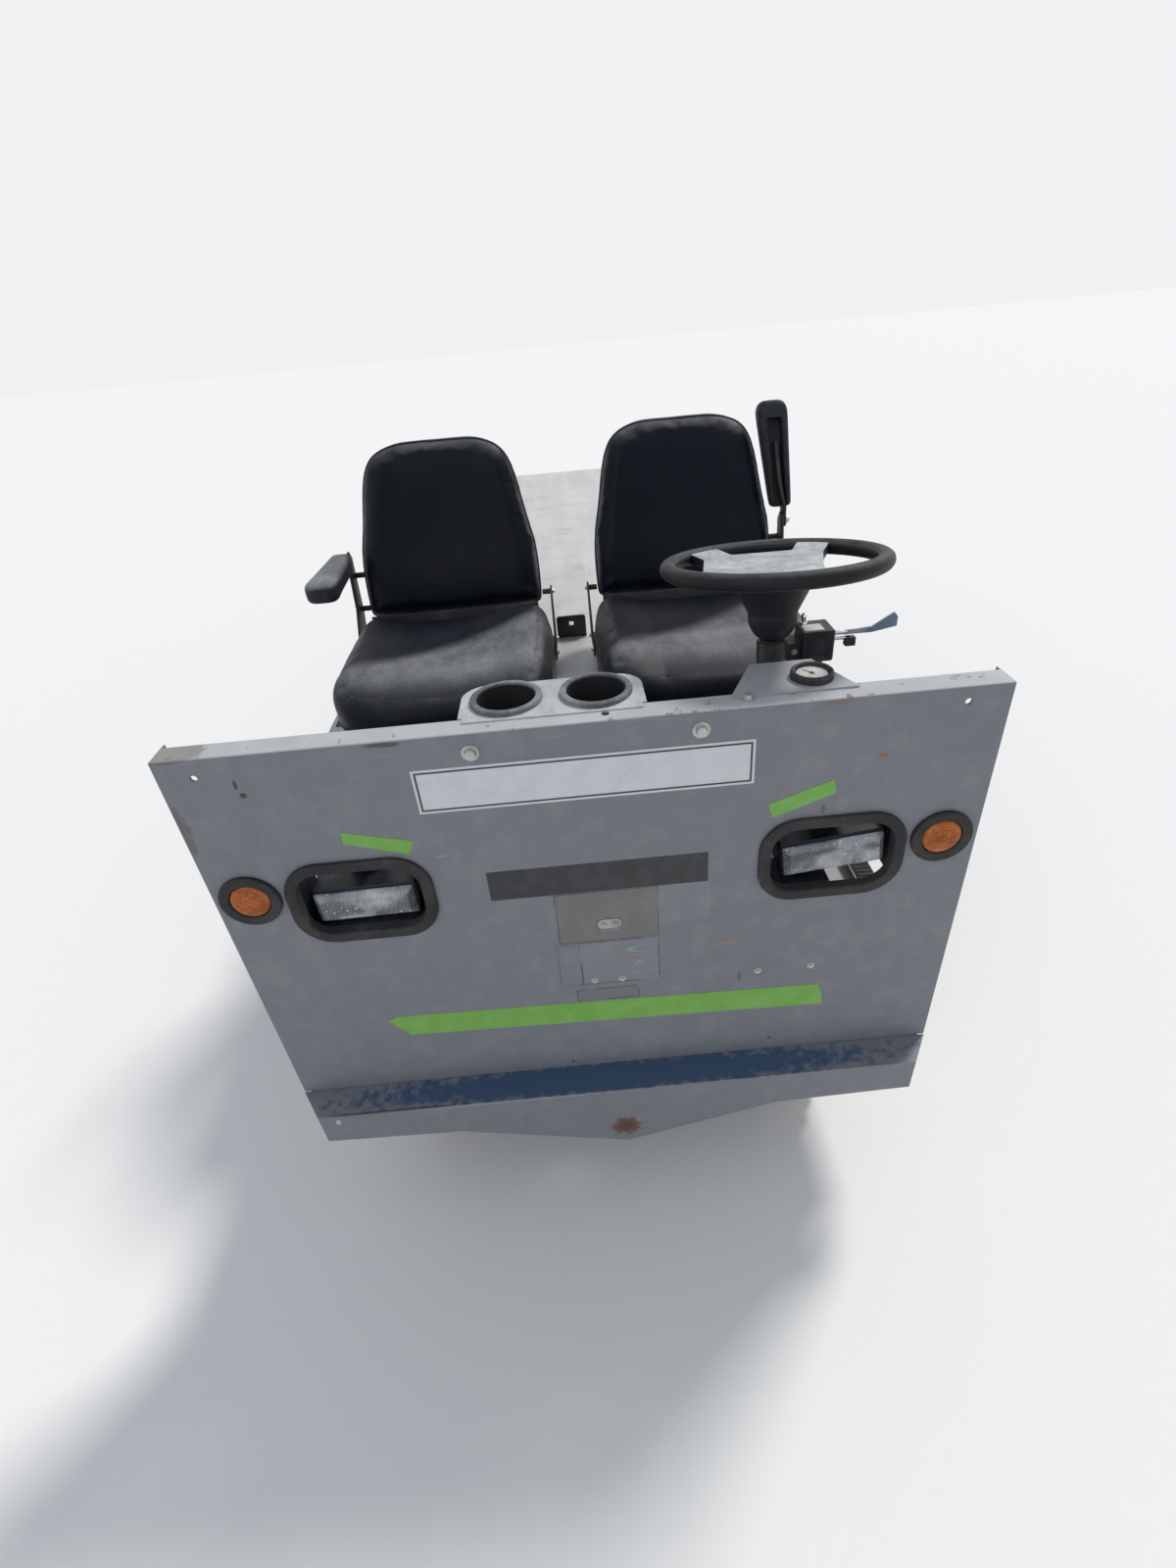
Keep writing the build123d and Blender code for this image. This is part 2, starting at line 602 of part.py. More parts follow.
def column_tube():
    """The fixed column tube and the bracket that carries it from the panel."""
    bore = SHAFT_RADIUS + RUNNING_GAP
    tube = bar(column_point(COLUMN_TUBE_TOP), column_point(JOINT_DISTANCE - COLUMN_TUBE_END), COLUMN_TUBE_RADIUS)
    back = column_point(COLUMN_BRACKET_DISTANCE)[1]
    low, high = COLUMN_BRACKET_Z
    half = COLUMN_TUBE_RADIUS + 10
    bracket = block(COLUMN_X - half, COLUMN_X + half, PANEL_SHEET, back, low, high)
    bracket -= block(COLUMN_X - half + SHEET, COLUMN_X + half - SHEET, PANEL_SHEET + SHEET, back + 1, low - 1, high - SHEET)
    tube = tube + bracket
    return tube - bar(column_point(0), column_point(JOINT_DISTANCE), bore)


def steering_pad():
    """The flat pad of the steering wheel: its near web runs into the ring and two arms reach the far side."""
    first, middle, last = (
        (WEB_RADIUS * math.cos(math.radians(angle)), WEB_RADIUS * math.sin(math.radians(angle)))
        for angle in WEB_ANGLES
    )
    outline = make_face([
        Polyline(first, *PAD_LEFT_EDGE, *PAD_FAR_EDGE, *PAD_RIGHT_EDGE, last),
        ThreePointArc(last, middle, first),
    ])
    outline = fillet(outline.vertices(), PAD_CORNER)
    return extrude(Plane.XY.offset(-PAD_HALF_THICKNESS) * outline, 2 * PAD_HALF_THICKNESS)


def steering_wheel():
    """The steering wheel: ring, pad with its arms, waisted shroud and the shaft in the column."""
    ring = Torus(STEERING_RING_RADIUS, STEERING_TUBE_RADIUS)
    shroud = make_face([
        Polyline((0, SHROUD_BOTTOM[1]), (0, SHROUD_TOP[1] + 1), (SHROUD_TOP[0], SHROUD_TOP[1] + 1), SHROUD_WAIST),
        ThreePointArc(SHROUD_WAIST, SHROUD_BELLY, SHROUD_BOTTOM),
        Line(SHROUD_BOTTOM, (0, SHROUD_BOTTOM[1])),
    ])
    wheel = ring + steering_pad() + revolve(Plane.XZ * shroud, Axis.Z)
    place = Plane(origin=column_point(0), x_dir=(1, 0, 0), z_dir=Vector(*column_point(-1)) - Vector(*column_point(0)))
    shaft = bar(column_point(20), column_point(JOINT_DISTANCE - JOINT_BALL_RADIUS - 0.5), SHAFT_RADIUS)
    return place * wheel + shaft


SWITCH_X = (COLUMN_X + 43, COLUMN_X + 95)
SWITCH_Z = (1068, 1120)
SWITCH_NECK_TOP = 1101
SWITCH_HALF_DEPTH = 24
SWITCH_DISTANCE = 135
SWITCH_CLAMP = (2, 46)
LEVER_Z = 1105
LEVER_RADIUS = 4
# The lever's flattened end as (x from the box, z from the lever): it turns up like a fin.
LEVER_BLADE = ((22, -4), (66, -4), (106, 3), (106, 19), (100, 26), (66, 5), (22, 4))
LEVER_BLADE_SHEET = 4
ROD_Z = 1095
ROD_REACH = 32
KNOB = (16, 12, 13)


def direction_switch():
    """The switch box clamped on the column, with its lever turned up at the end and a rod with a block knob."""
    y = column_point(SWITCH_DISTANCE)[1]
    (inner, outer), (low, high) = SWITCH_X, SWITCH_Z
    start, end = (column_point(COLUMN_TUBE_TOP + offset) for offset in SWITCH_CLAMP)
    box = block(inner, outer, y - SWITCH_HALF_DEPTH, y + SWITCH_HALF_DEPTH, low, high)
    box = fillet(box.edges().group_by(Axis.X)[-1], 5)
    unit = bar(start, end, CLAMP_RADIUS) + box
    unit += block(COLUMN_X, inner + 1, y - SWITCH_HALF_DEPTH + 6, y + SWITCH_HALF_DEPTH - 6, low + 4, SWITCH_NECK_TOP)
    unit -= bar(column_point(60), column_point(220), COLUMN_TUBE_RADIUS + RUNNING_GAP)
    lever = bar((outer - 4, y, LEVER_Z), (outer + LEVER_BLADE[0][0] + 4, y, LEVER_Z), LEVER_RADIUS)
    blade = front_cut([(outer + x, LEVER_Z + z) for x, z in LEVER_BLADE], y - LEVER_BLADE_SHEET / 2, y + LEVER_BLADE_SHEET / 2)
    rod = bar((outer - 4, y, ROD_Z), (outer + ROD_REACH, y, ROD_Z), LEVER_RADIUS - 1)
    width, depth, height = KNOB
    end = outer + ROD_REACH
    knob = block(end - width / 2, end + width / 2, y - depth / 2, y + depth / 2, ROD_Z - height, ROD_Z + 1)
    return unit + lever + blade + rod + knob


def cup_console():
    """The moulded console behind the panel's top edge, with two round cup holders."""
    front = PANEL_TOP_FLANGE + 0.5
    x0, x1 = CONSOLE_X
    plate = block(x0, x1, front, CONSOLE_BACK, CONSOLE_TOP - 12, CONSOLE_TOP)
    plate += block(x0 + 6, x1 - 6, front - 14, front + 1, PANEL_TOP, CONSOLE_TOP)
    plate = fillet(plate.edges().filter_by(Axis.Z).group_by(Axis.Y)[-1], 40)
    for x, y in CUP_CENTRES:
        plate += Pos(x, y, CUP_FLOOR - 4) * Cylinder(CUP_RADIUS + 3, CONSOLE_TOP - CUP_FLOOR, align=MIN_ALIGN)
        plate += Pos(x, y, CONSOLE_TOP - 2) * Cylinder(CUP_RING_RADIUS, 5, align=MIN_ALIGN)
    plate -= block(x0 - 1, x1 + 1, 0, front, PANEL_TOP - 60, PANEL_TOP)
    for x, y in CUP_CENTRES:
        plate -= Pos(x, y, CUP_FLOOR) * Cylinder(CUP_RADIUS, 200, align=MIN_ALIGN)
    return plate


def dash_plate():
    """The small instrument plate in front of the column, with its round gauge."""
    (x0, x1), (b0, b1) = DASH_FRONT_X, DASH_BACK_X
    y0 = PANEL_TOP_FLANGE - 14
    plate = top_cut(((x0, y0), (x1, y0), (b1, DASH_BACK_Y), (b0, DASH_BACK_Y)), PANEL_TOP, PANEL_TOP + SHEET)
    plate += block(b0, b1, DASH_BACK_Y - SHEET, DASH_BACK_Y, PANEL_TOP - 30, PANEL_TOP + SHEET)
    gauge = Pos(GAUGE_X, GAUGE_Y, PANEL_TOP) * Cylinder(GAUGE_RADIUS, 11, align=MIN_ALIGN)
    dial = Pos(GAUGE_X, GAUGE_Y, PANEL_TOP + 8) * Cylinder(GAUGE_RADIUS - 5, 10, align=MIN_ALIGN)
    return plate + gauge - dial


def lamp_bezels():
    """Rubber edging round the headlamp openings and grommets round the marker lamps."""
    width, height = BEZEL_SIZE
    lip, corner = BEZEL_LIP, BEZEL_CORNER
    inner = RectangleRounded(width - 2 * lip, height - 2 * lip, corner - lip)
    outer = RectangleRounded(width, height, corner)
    neck = RectangleRounded(width - lip - 2 * RUNNING_GAP, height - lip - 2 * RUNNING_GAP, corner - lip / 2)
    ring = across(Pos(HEADLAMP_X, HEADLAMP_Z) * (outer - inner), -BEZEL_PROUD, 0)
    ring += across(Pos(HEADLAMP_X, HEADLAMP_Z) * (neck - inner), 0, PANEL_SHEET + BEZEL_BACK)
    ring = fillet(ring.edges().group_by(Axis.Y)[0], 3)
    grommet = across(Pos(MARKER_X, MARKER_Z) * (Circle(GROMMET_RADIUS) - Circle(MARKER_RADIUS)), -BEZEL_PROUD, 0)
    grommet += across(Pos(MARKER_X, MARKER_Z) * (Circle(GROMMET_RADIUS - GROMMET_GRIP - RUNNING_GAP) - Circle(MARKER_RADIUS)), 0, PANEL_SHEET + BEZEL_BACK)
    grommet = fillet(grommet.edges().group_by(Axis.Y)[0], 3)
    return pair(ring) + pair(grommet)


def headlamp(x, z, turn):
    """A lamp unit with a bevelled glass, turned about its own axis, and the strap that hangs it behind the panel."""
    width, height = GLASS_SIZE
    rear_y, back_y = GLASS_FACE_Y + GLASS_DEPTH, GLASS_FACE_Y + GLASS_DEPTH + HOUSING_DEPTH
    glass = block(-width / 2, width / 2, GLASS_FACE_Y, rear_y, -height / 2, height / 2)
    glass = chamfer(glass.edges().group_by(Axis.Y)[0], GLASS_BEVEL)
    width, height = HOUSING_SIZE
    housing = block(-width / 2, width / 2, rear_y, back_y, -height / 2, height / 2)
    housing = fillet(housing.edges().group_by(Axis.Y)[-1], 16)
    unit = Pos(x, 0, z) * Rot(0, turn, 0) * (glass + housing)
    front, (low, high) = PANEL_SHEET + BEZEL_BACK + RUNNING_GAP, LAMP_STRAP_Z
    half, back = LAMP_STRAP_HALF, front + 6
    middle = math.copysign(HEADLAMP_X, x)
    strap = block(middle - half, middle + half, front, back, low, high)
    for end in (-1, 1):
        inner, outer = sorted((middle + end * half, middle + end * (half - 17)))
        strap += block(inner, outer, PANEL_SHEET, back, low, high)
    strap += block(x - 30, x + 30, front, back_y - 20, low, low + 4)
    strap += block(x - 30, x + 30, back_y - 26, back_y - 20, z + height / 2 - 6, low + 4)
    return unit + strap


def headlamps():
    """Rectangular lamp units that hang low behind the openings, so that their black tops show above the glass."""
    left, right = (headlamp(x, z, turn) for x, z, turn in HEADLAMP_PLACES)
    return left + right


def amber_lenses():
    """Round front marker lamps and the flat side reflectors."""
    dome = Pos(MARKER_X, -2, MARKER_Z) * Rot(90, 0, 0) * Cylinder(MARKER_RADIUS - RUNNING_GAP, 10)
    dome = fillet(dome.edges().group_by(Axis.Y)[0], 4)
    dome += across(Pos(MARKER_X, MARKER_Z) * Circle(MARKER_RADIUS - RUNNING_GAP), 3, PANEL_SHEET + 16)
    length, height = REFLECTOR_SIZE
    half = BODY_HALF_WIDTH
    top, front = DECK_TOP - DECK_SHEET - REFLECTOR_EDGE, BOX_FRONT + REFLECTOR_EDGE
    reflector = block(half, half + REFLECTOR_PROUD, front, front + length, top - height, top)
    return pair(dome) + pair(reflector)


def tail_lamps():
    """Round tail lamps in the rear apron."""
    lamp = across(Pos(TAIL_LAMP_X, TAIL_LAMP_Z) * Circle(TAIL_LAMP_RADIUS), DECK_END, DECK_END + 12)
    lamp = fillet(lamp.edges().group_by(Axis.Y)[-1], 5)
    lamp += across(Pos(TAIL_LAMP_X, TAIL_LAMP_Z) * Circle(TAIL_LAMP_RADIUS - TAIL_LAMP_RIM - RUNNING_GAP), DECK_END - 20, DECK_END)
    return pair(lamp)


def tow_hitch():
    """The hitch at the rear cross member: two plates with a pin hole."""
    z, eye, half = HITCH_Z, HITCH_EYE_RADIUS, HITCH_GAP / 2 + HITCH_SHEET
    hitch = block(-eye - 18, eye + 18, RAIL_END, RAIL_END + HITCH_SHEET, z - CROSS_HEIGHT / 2, z + CROSS_HEIGHT / 2)
    for low in (z - half, z + half - HITCH_SHEET):
        hitch += block(-eye, eye, RAIL_END, HITCH_END - eye, low, low + HITCH_SHEET)
        hitch += Pos(0, HITCH_END - eye, low) * Cylinder(eye, HITCH_SHEET, align=MIN_ALIGN)
    return hitch - Pos(0, HITCH_END - eye, z) * Cylinder(HITCH_BORE_RADIUS, 4 * half)


PEDAL_X = ((230, 300), (360, 420))
PEDAL_Y = (150, 270)
PEDAL_RISE = 84


def pedals():
    """Brake and accelerator treadles hinged at the floor."""
    plates = []
    (front, hinge), low, high = PEDAL_Y, FLOOR_TOP, FLOOR_TOP + PEDAL_RISE
    for x0, x1 in PEDAL_X:
        tread = side_cut(((hinge, low), (hinge - 8, low), (front, high), (front, high + 10), (hinge, low + 10)), x0, x1)
        middle = (x0 + x1) / 2
        stalk = ((front + 20, low), (front + 36, low), (front + 46, high - 30), (front + 30, high - 18))
        plates.append(tread + side_cut(stalk, middle - 6, middle + 6))
    return plates[0] + plates[1]


def latch_bracket():
    """The upright bracket with a square hole that stands at the seat lid's seam."""
    y = LID_HINGE_Y + 12
    plate = block(-45, 36, y, y + 5, DECK_TOP, DECK_TOP + 62)
    plate = fillet(plate.edges().filter_by(Axis.Y).group_by(Axis.Z)[-1], 8)
    foot = block(-45, 36, y, y + 30, DECK_TOP, DECK_TOP + 5)
    return plate + foot - block(-10, 2, y - 1, y + 6, DECK_TOP + 34, DECK_TOP + 46)


HINGE_X = 420
HINGE_BARREL_RADIUS = 7
HINGE_PIN_RADIUS = 3
HINGE_LEAF = 3


def hinge_axis_z():
    """The height of the lid hinge's axis."""
    return DECK_TOP + HINGE_BARREL_RADIUS


def lid_hinges():
    """The deck's hinge leaves with their middle barrels and the hinge pins."""
    x, y, z = HINGE_X, LID_HINGE_Y, hinge_axis_z()
    leaf = block(x - 20, x + 20, y + 2, y + 52, DECK_TOP, DECK_TOP + HINGE_LEAF)
    leaf += bar((x - 20, y, z), (x + 20, y, z), HINGE_BARREL_RADIUS) - block(x - 30, x + 30, y - 10, y - 0.1, DECK_TOP - 1, DECK_TOP)
    leaf += bar((x - 62, y, z), (x + 62, y, z), HINGE_PIN_RADIUS)
    return pair(leaf)


def seat_lid():
    """The lid over the batteries that carries both seats, with its front lip and hinge leaves."""
    half = BODY_HALF_WIDTH - 5
    low = DECK_TOP - DECK_SHEET
    front = BOX_FRONT - 5
    back = LID_HINGE_Y - SEAM_GAP
    lid = block(-half, half, front, back, low, DECK_TOP)
    lid += block(-half, half, front, front + SHEET, DECK_TOP - 45, DECK_TOP)
    y, z = LID_HINGE_Y, hinge_axis_z()
    for side in (-1, 1):
        x = side * HINGE_X
        leaf = block(x - 60, x + 60, y - 52, y - 2, DECK_TOP, DECK_TOP + HINGE_LEAF)
        leaf -= block(x - 20.5, x + 20.5, y - HINGE_BARREL_RADIUS - 1, y, DECK_TOP - 1, DECK_TOP + 20)
        for x0 in (x - 60, x + 20.5):
            leaf += bar((x0, y, z), (x0 + 39.5, y, z), HINGE_BARREL_RADIUS)
        lid += leaf - bar((x - 80, y, z), (x + 80, y, z), HINGE_PIN_RADIUS + RUNNING_GAP)
    return lid


def backrest_point(distance):
    """The (y, z) of a point in the middle of a backrest's thickness, at a distance up it."""
    lean = math.radians(BACKREST_LEAN)
    half = BACKREST_THICKNESS / 2
    y = BACKREST_FOOT_Y + distance * math.sin(lean) + half * math.cos(lean)
    return y, BACKREST_FOOT_Z + distance * math.cos(lean) - half * math.sin(lean)


def seat_frame():
    """One seat's runners, pan and recliner brackets, centred on x = 0."""
    low = DECK_TOP
    pan_low, back = SEAT_PAN_Z - SEAT_PAN_SHEET, CUSHION_BACK + 30
    inner = BRACKET_OFFSET - BRACKET_SHEET
    pan = block(-inner, inner, CUSHION_FRONT + CUSHION_FRONT_RADIUS, back, pan_low, SEAT_PAN_Z)
    pivot_y, pivot_z = ARMREST_PIVOT_Y, ARMREST_PIVOT_Z
    bracket_outline = (
        (back - 140, pan_low - 8), (back, pan_low - 8), (pivot_y + 10, pan_low + 105), (pivot_y + 24, pivot_z),
        (pivot_y + 8, pivot_z + 20), (pivot_y - 18, pivot_z + 14), (pivot_y - 45, pan_low + 130), (back - 70, pan_low + 48),
    )
    for side in (-1, 1):
        x, plate = side * RUNNER_OFFSET, side * (BRACKET_OFFSET - BRACKET_SHEET / 2)
        pan += block(x - RUNNER_WIDTH / 2, x + RUNNER_WIDTH / 2, CUSHION_FRONT + 70, back - 40, low, pan_low)
        pan += side_cut(bracket_outline, plate - BRACKET_SHEET / 2, plate + BRACKET_SHEET / 2)
        for distance in (40, 125):
            y, z = backrest_point(distance)
            pan += bar((plate, y, z), (side * BACKREST_HALF_WIDTH, y, z), 7)
    return pan


def armrest_pin(side):
    """The pivot pin on the outer recliner bracket."""
    x = side * (SEAT_X + BRACKET_OFFSET - 1)
    return bar((x, ARMREST_PIVOT_Y, ARMREST_PIVOT_Z), (x + side * 17, ARMREST_PIVOT_Y, ARMREST_PIVOT_Z), PIVOT_RADIUS)


def seat_frames():
    """Both seats' frames, each with a pivot pin for its outer armrest."""
    left = Pos(SEAT_X, 0, 0) * seat_frame() + armrest_pin(1)
    right = Pos(-SEAT_X, 0, 0) * seat_frame() + armrest_pin(-1)
    return left + right


def seat_cushion():
    """A seat cushion with round front corners, a rolled front edge and softened sides, centred on x = 0."""
    z, top, front, back = SEAT_PAN_Z, SEAT_PAN_Z + CUSHION_HEIGHT, CUSHION_FRONT, CUSHION_BACK
    half = CUSHION_HALF_WIDTH
    roll = make_face([
        Line((back, z), (front + 20, z)),
        ThreePointArc((front + 20, z), (front, z + 45), (front + 60, top - 6)),
        Line((front + 60, top - 6), (back, top)),
        Line((back, top), (back, z)),
    ])
    body = extrude(Plane.YZ.offset(-half) * roll, 2 * half)
    plan = Pos(0, (front + back) / 2) * Rectangle(2 * half, back - front)
    plan = fillet(plan.vertices().group_by(Axis.Y)[0], CUSHION_FRONT_RADIUS)
    plan = fillet(plan.vertices().group_by(Axis.Y)[-1], CUSHION_BACK_RADIUS)
    return body & extrude(Plane.XY.offset(z) * plan, CUSHION_HEIGHT)


def seat_backrest():
    """A high backrest with a round top, centred on x = 0 and leaning back."""
    w, h, t, shoulder = BACKREST_HALF_WIDTH, BACKREST_HEIGHT, BACKREST_THICKNESS, BACKREST_SHOULDER
    straight, turn, crown = 0.32 * h, 0.55 * h, 0.16 * h
    outline = make_face([
        Line((-w, 0), (w, 0)),
        Line((w, 0), (w, straight)),
        Line((w, straight), (shoulder, turn)),
        ThreePointArc((shoulder, turn), (0.83 * shoulder, 0.87 * h), (crown, 0.99 * h)),
        ThreePointArc((crown, 0.99 * h), (0, h), (-crown, 0.99 * h)),
        ThreePointArc((-crown, 0.99 * h), (-0.83 * shoulder, 0.87 * h), (-shoulder, turn)),
        Line((-shoulder, turn), (-w, straight)),
        Line((-w, straight), (-w, 0)),
    ])
    slab = extrude(Plane.XZ * outline, -t)
    slab = fillet(slab.edges().group_by(Axis.Y)[0], BACKREST_EDGE)
    return Pos(0, BACKREST_FOOT_Y, BACKREST_FOOT_Z) * Rot(-BACKREST_LEAN, 0, 0) * slab


def armrest(side, raised):
    """An armrest turned up by an angle: a tapered pad with a channel underneath and its pivot arm."""
    start, reach, thick, low = ARMREST_START, ARMREST_REACH, ARMREST_THICKNESS, -ARMREST_DROP
    bracket = SEAT_X + BRACKET_OFFSET
    root, tip = (bracket + bend for bend in ARMREST_BENDS[side])
    plan = top_cut(
        ((root - ARMREST_ROOT_WIDTH / 2, -start), (tip - ARMREST_TIP_WIDTH / 2, -reach),
         (tip + ARMREST_TIP_WIDTH / 2, -reach), (root + ARMREST_ROOT_WIDTH / 2, -start)),
        low, low + thick,
    )
    pad = fillet(plan.edges().filter_by(Axis.Z).group_by(Axis.Y)[0], 18)
    pad = fillet(pad.edges().group_by(Axis.Z)[-1], 12)
    half = ARMREST_CHANNEL / 2
    pad -= top_cut(
        ((root - half, -start - 12), (tip - 1.3 * half, -reach + 40), (tip + 1.3 * half, -reach + 40), (root + half, -start - 12)),
        low - 1, low + thick / 2,
    )
    inner = bracket + RUNNING_GAP
    arm = side_cut(
        ((-16, -12), (14, -10), (16, 8), (0, 18), (-start - 150, low + thick / 2), (-start - 150, low + 4), (-start, low)),
        inner, inner + ARM_PLATE,
    )
    rest = pad + arm
    rest -= bar((inner - 20, 0, 0), (inner + 60, 0, 0), PIVOT_RADIUS + RUNNING_GAP)
    if side < 0:
        rest = mirror(rest, about=Plane.YZ)
    return Pos(0, ARMREST_PIVOT_Y, ARMREST_PIVOT_Z) * Rot(-raised, 0, 0) * rest


def wheels():
    """Each wheel's rim and tyre in place, by corner."""
    placed = {}
    # corner, side, x and y of the wheel's centre, radius of its stub
    corners = (
        ("front_left", 1, FRONT_WHEEL_X, FRONT_AXLE_Y, SPINDLE_RADIUS),
        ("front_right", -1, FRONT_WHEEL_X, FRONT_AXLE_Y, SPINDLE_RADIUS),
        ("rear_left", 1, REAR_WHEEL_X, REAR_AXLE_Y, REAR_STUB_RADIUS),
        ("rear_right", -1, REAR_WHEEL_X, REAR_AXLE_Y, REAR_STUB_RADIUS),
    )
    for corner, side, x, y, stub in corners:
        place = Pos(side * x, y, TYRE_RADIUS) * Rot(0, side * 90, 0)
        placed["rim_" + corner] = place * wheel_disc(stub + RUNNING_GAP)
        placed["tyre_" + corner] = place * tyre_ring()
    return placed


def build():
    """Every piece by its name."""
    left_knuckle = knuckle()
    nodes = {
        "front_panel": front_panel(), "front_bumper": front_bumper(), "frame_rails": frame_rails(),
        "cross_members": cross_members(), "floor_plate": floor_plate(), "side_sills": side_sills(),
        "step_treads": step_treads(), "box_front": box_front(), "battery_pack": battery_pack(),
        "side_skirts": side_skirts(), "cargo_deck": cargo_deck(), "deck_bearers": deck_bearers(),
        "bearer_posts": bearer_posts(), "rear_apron": rear_apron(), "front_springs": front_springs(),
        "rear_springs": rear_springs(), "front_axle": front_axle(), "rear_axle": rear_axle(),
        "drive_motor": drive_motor(), "steering_gear": steering_gear(), "column_tube": column_tube(),
        "direction_switch": direction_switch(), "cup_console": cup_console(), "dash_plate": dash_plate(),
        "lamp_bezels": lamp_bezels(), "headlamps": headlamps(), "amber_lenses": amber_lenses(),
        "tail_lamps": tail_lamps(), "tow_hitch": tow_hitch(), "pedals": pedals(),
        "latch_bracket": latch_bracket(), "lid_hinges": lid_hinges(), "seat_lid": seat_lid(),
        "seat_frames": seat_frames(), "steering_wheel": steering_wheel(), "lower_shaft": lower_shaft(),
        "pitman_arm": pitman_arm(), "tie_rod": tie_rod(), "knuckle_left": left_knuckle,
        "knuckle_right": mirror(left_knuckle, about=Plane.YZ),
        "armrest_left": armrest(1, ARMREST_RAISED), "armrest_right": armrest(-1, 0),
    }
    for name, side in (("left", 1), ("right", -1)):
        nodes["cushion_" + name] = Pos(side * SEAT_X, 0, 0) * seat_cushion()
        nodes["backrest_" + name] = Pos(side * SEAT_X, 0, 0) * seat_backrest()
    nodes.update(wheels())
    return nodes


def main():
    """Write one file for each piece, in the frame whose origin is under the vehicle's middle."""
    os.makedirs("parts", exist_ok=True)
    for name, shape in build().items():
        export_step(Pos(0, -MIDDLE_Y, 0) * shape, f"parts/{name}.step")


if __name__ == "__main__":
    main()
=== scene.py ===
"""Looks of an electric utility vehicle with two seats over its batteries and a flat cargo deck.

Metres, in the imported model's frame: X is the driver's left, the vehicle faces -Y and Z is up from the ground.
"""

from __future__ import annotations

import json
import logging
import math
from dataclasses import dataclass, field
from enum import Enum
from functools import lru_cache
from typing import Callable, Iterable, Sequence

import bmesh
import bpy
from mathutils import Matrix, Vector
from mathutils.bvhtree import BVHTree

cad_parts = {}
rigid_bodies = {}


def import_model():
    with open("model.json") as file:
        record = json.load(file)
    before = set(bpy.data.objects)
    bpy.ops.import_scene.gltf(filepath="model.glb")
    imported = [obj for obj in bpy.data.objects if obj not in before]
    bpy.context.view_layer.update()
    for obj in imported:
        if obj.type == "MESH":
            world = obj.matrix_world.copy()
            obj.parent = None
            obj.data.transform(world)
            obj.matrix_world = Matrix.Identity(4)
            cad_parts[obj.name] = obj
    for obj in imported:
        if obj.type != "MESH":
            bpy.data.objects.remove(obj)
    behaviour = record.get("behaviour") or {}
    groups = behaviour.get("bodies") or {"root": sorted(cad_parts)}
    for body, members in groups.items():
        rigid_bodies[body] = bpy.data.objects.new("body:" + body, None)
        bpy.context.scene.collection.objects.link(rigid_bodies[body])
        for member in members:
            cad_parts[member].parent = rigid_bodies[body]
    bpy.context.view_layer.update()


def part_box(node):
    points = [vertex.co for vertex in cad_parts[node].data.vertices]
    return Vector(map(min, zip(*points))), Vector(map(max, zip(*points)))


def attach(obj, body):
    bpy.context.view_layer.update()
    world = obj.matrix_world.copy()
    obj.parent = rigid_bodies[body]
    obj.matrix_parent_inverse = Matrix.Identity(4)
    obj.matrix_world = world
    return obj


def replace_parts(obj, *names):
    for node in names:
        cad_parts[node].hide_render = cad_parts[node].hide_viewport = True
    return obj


LOG = logging.getLogger("vehicle")
MM = 0.001
Colour = tuple[float, float, float]
Corners = tuple[Sequence[float], Sequence[float]]
Socket = bpy.types.NodeSocket


class Body(Enum):
    """The bodies of the vehicle that its pieces ride on."""

    CHASSIS = "chassis"
    LID = "seat_lid"
    ARM_LEFT = "armrest_left"
    ARM_RIGHT = "armrest_right"
    FRONT_LEFT = "wheel_front_left"
    FRONT_RIGHT = "wheel_front_right"
    REAR_LEFT = "wheel_rear_left"
    REAR_RIGHT = "wheel_rear_right"


class Side(Enum):
    """The vehicle's two sides, with the sign of their x."""

    LEFT = 1
    RIGHT = -1


@lru_cache(maxsize=None)
def panel_face() -> float:
    """The front panel's face, from which the places along the vehicle count."""
    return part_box("front_panel")[0].y


def at(x: float, y: float, z: float) -> Vector:
    """A point from millimetres: x from the middle, y behind the front panel's face, z from the ground."""
    return Vector((x * MM, panel_face() + y * MM, z * MM))


def facing(x: float, y: float, z: float, degrees: float, axis: str = "X") -> Matrix:
    """A place from millimetres, turned about an axis; 90 degrees about X points its +Z forward."""
    return Matrix.Translation(at(x, y, z)) @ Matrix.Rotation(math.radians(degrees), 4, axis)


# Shader building


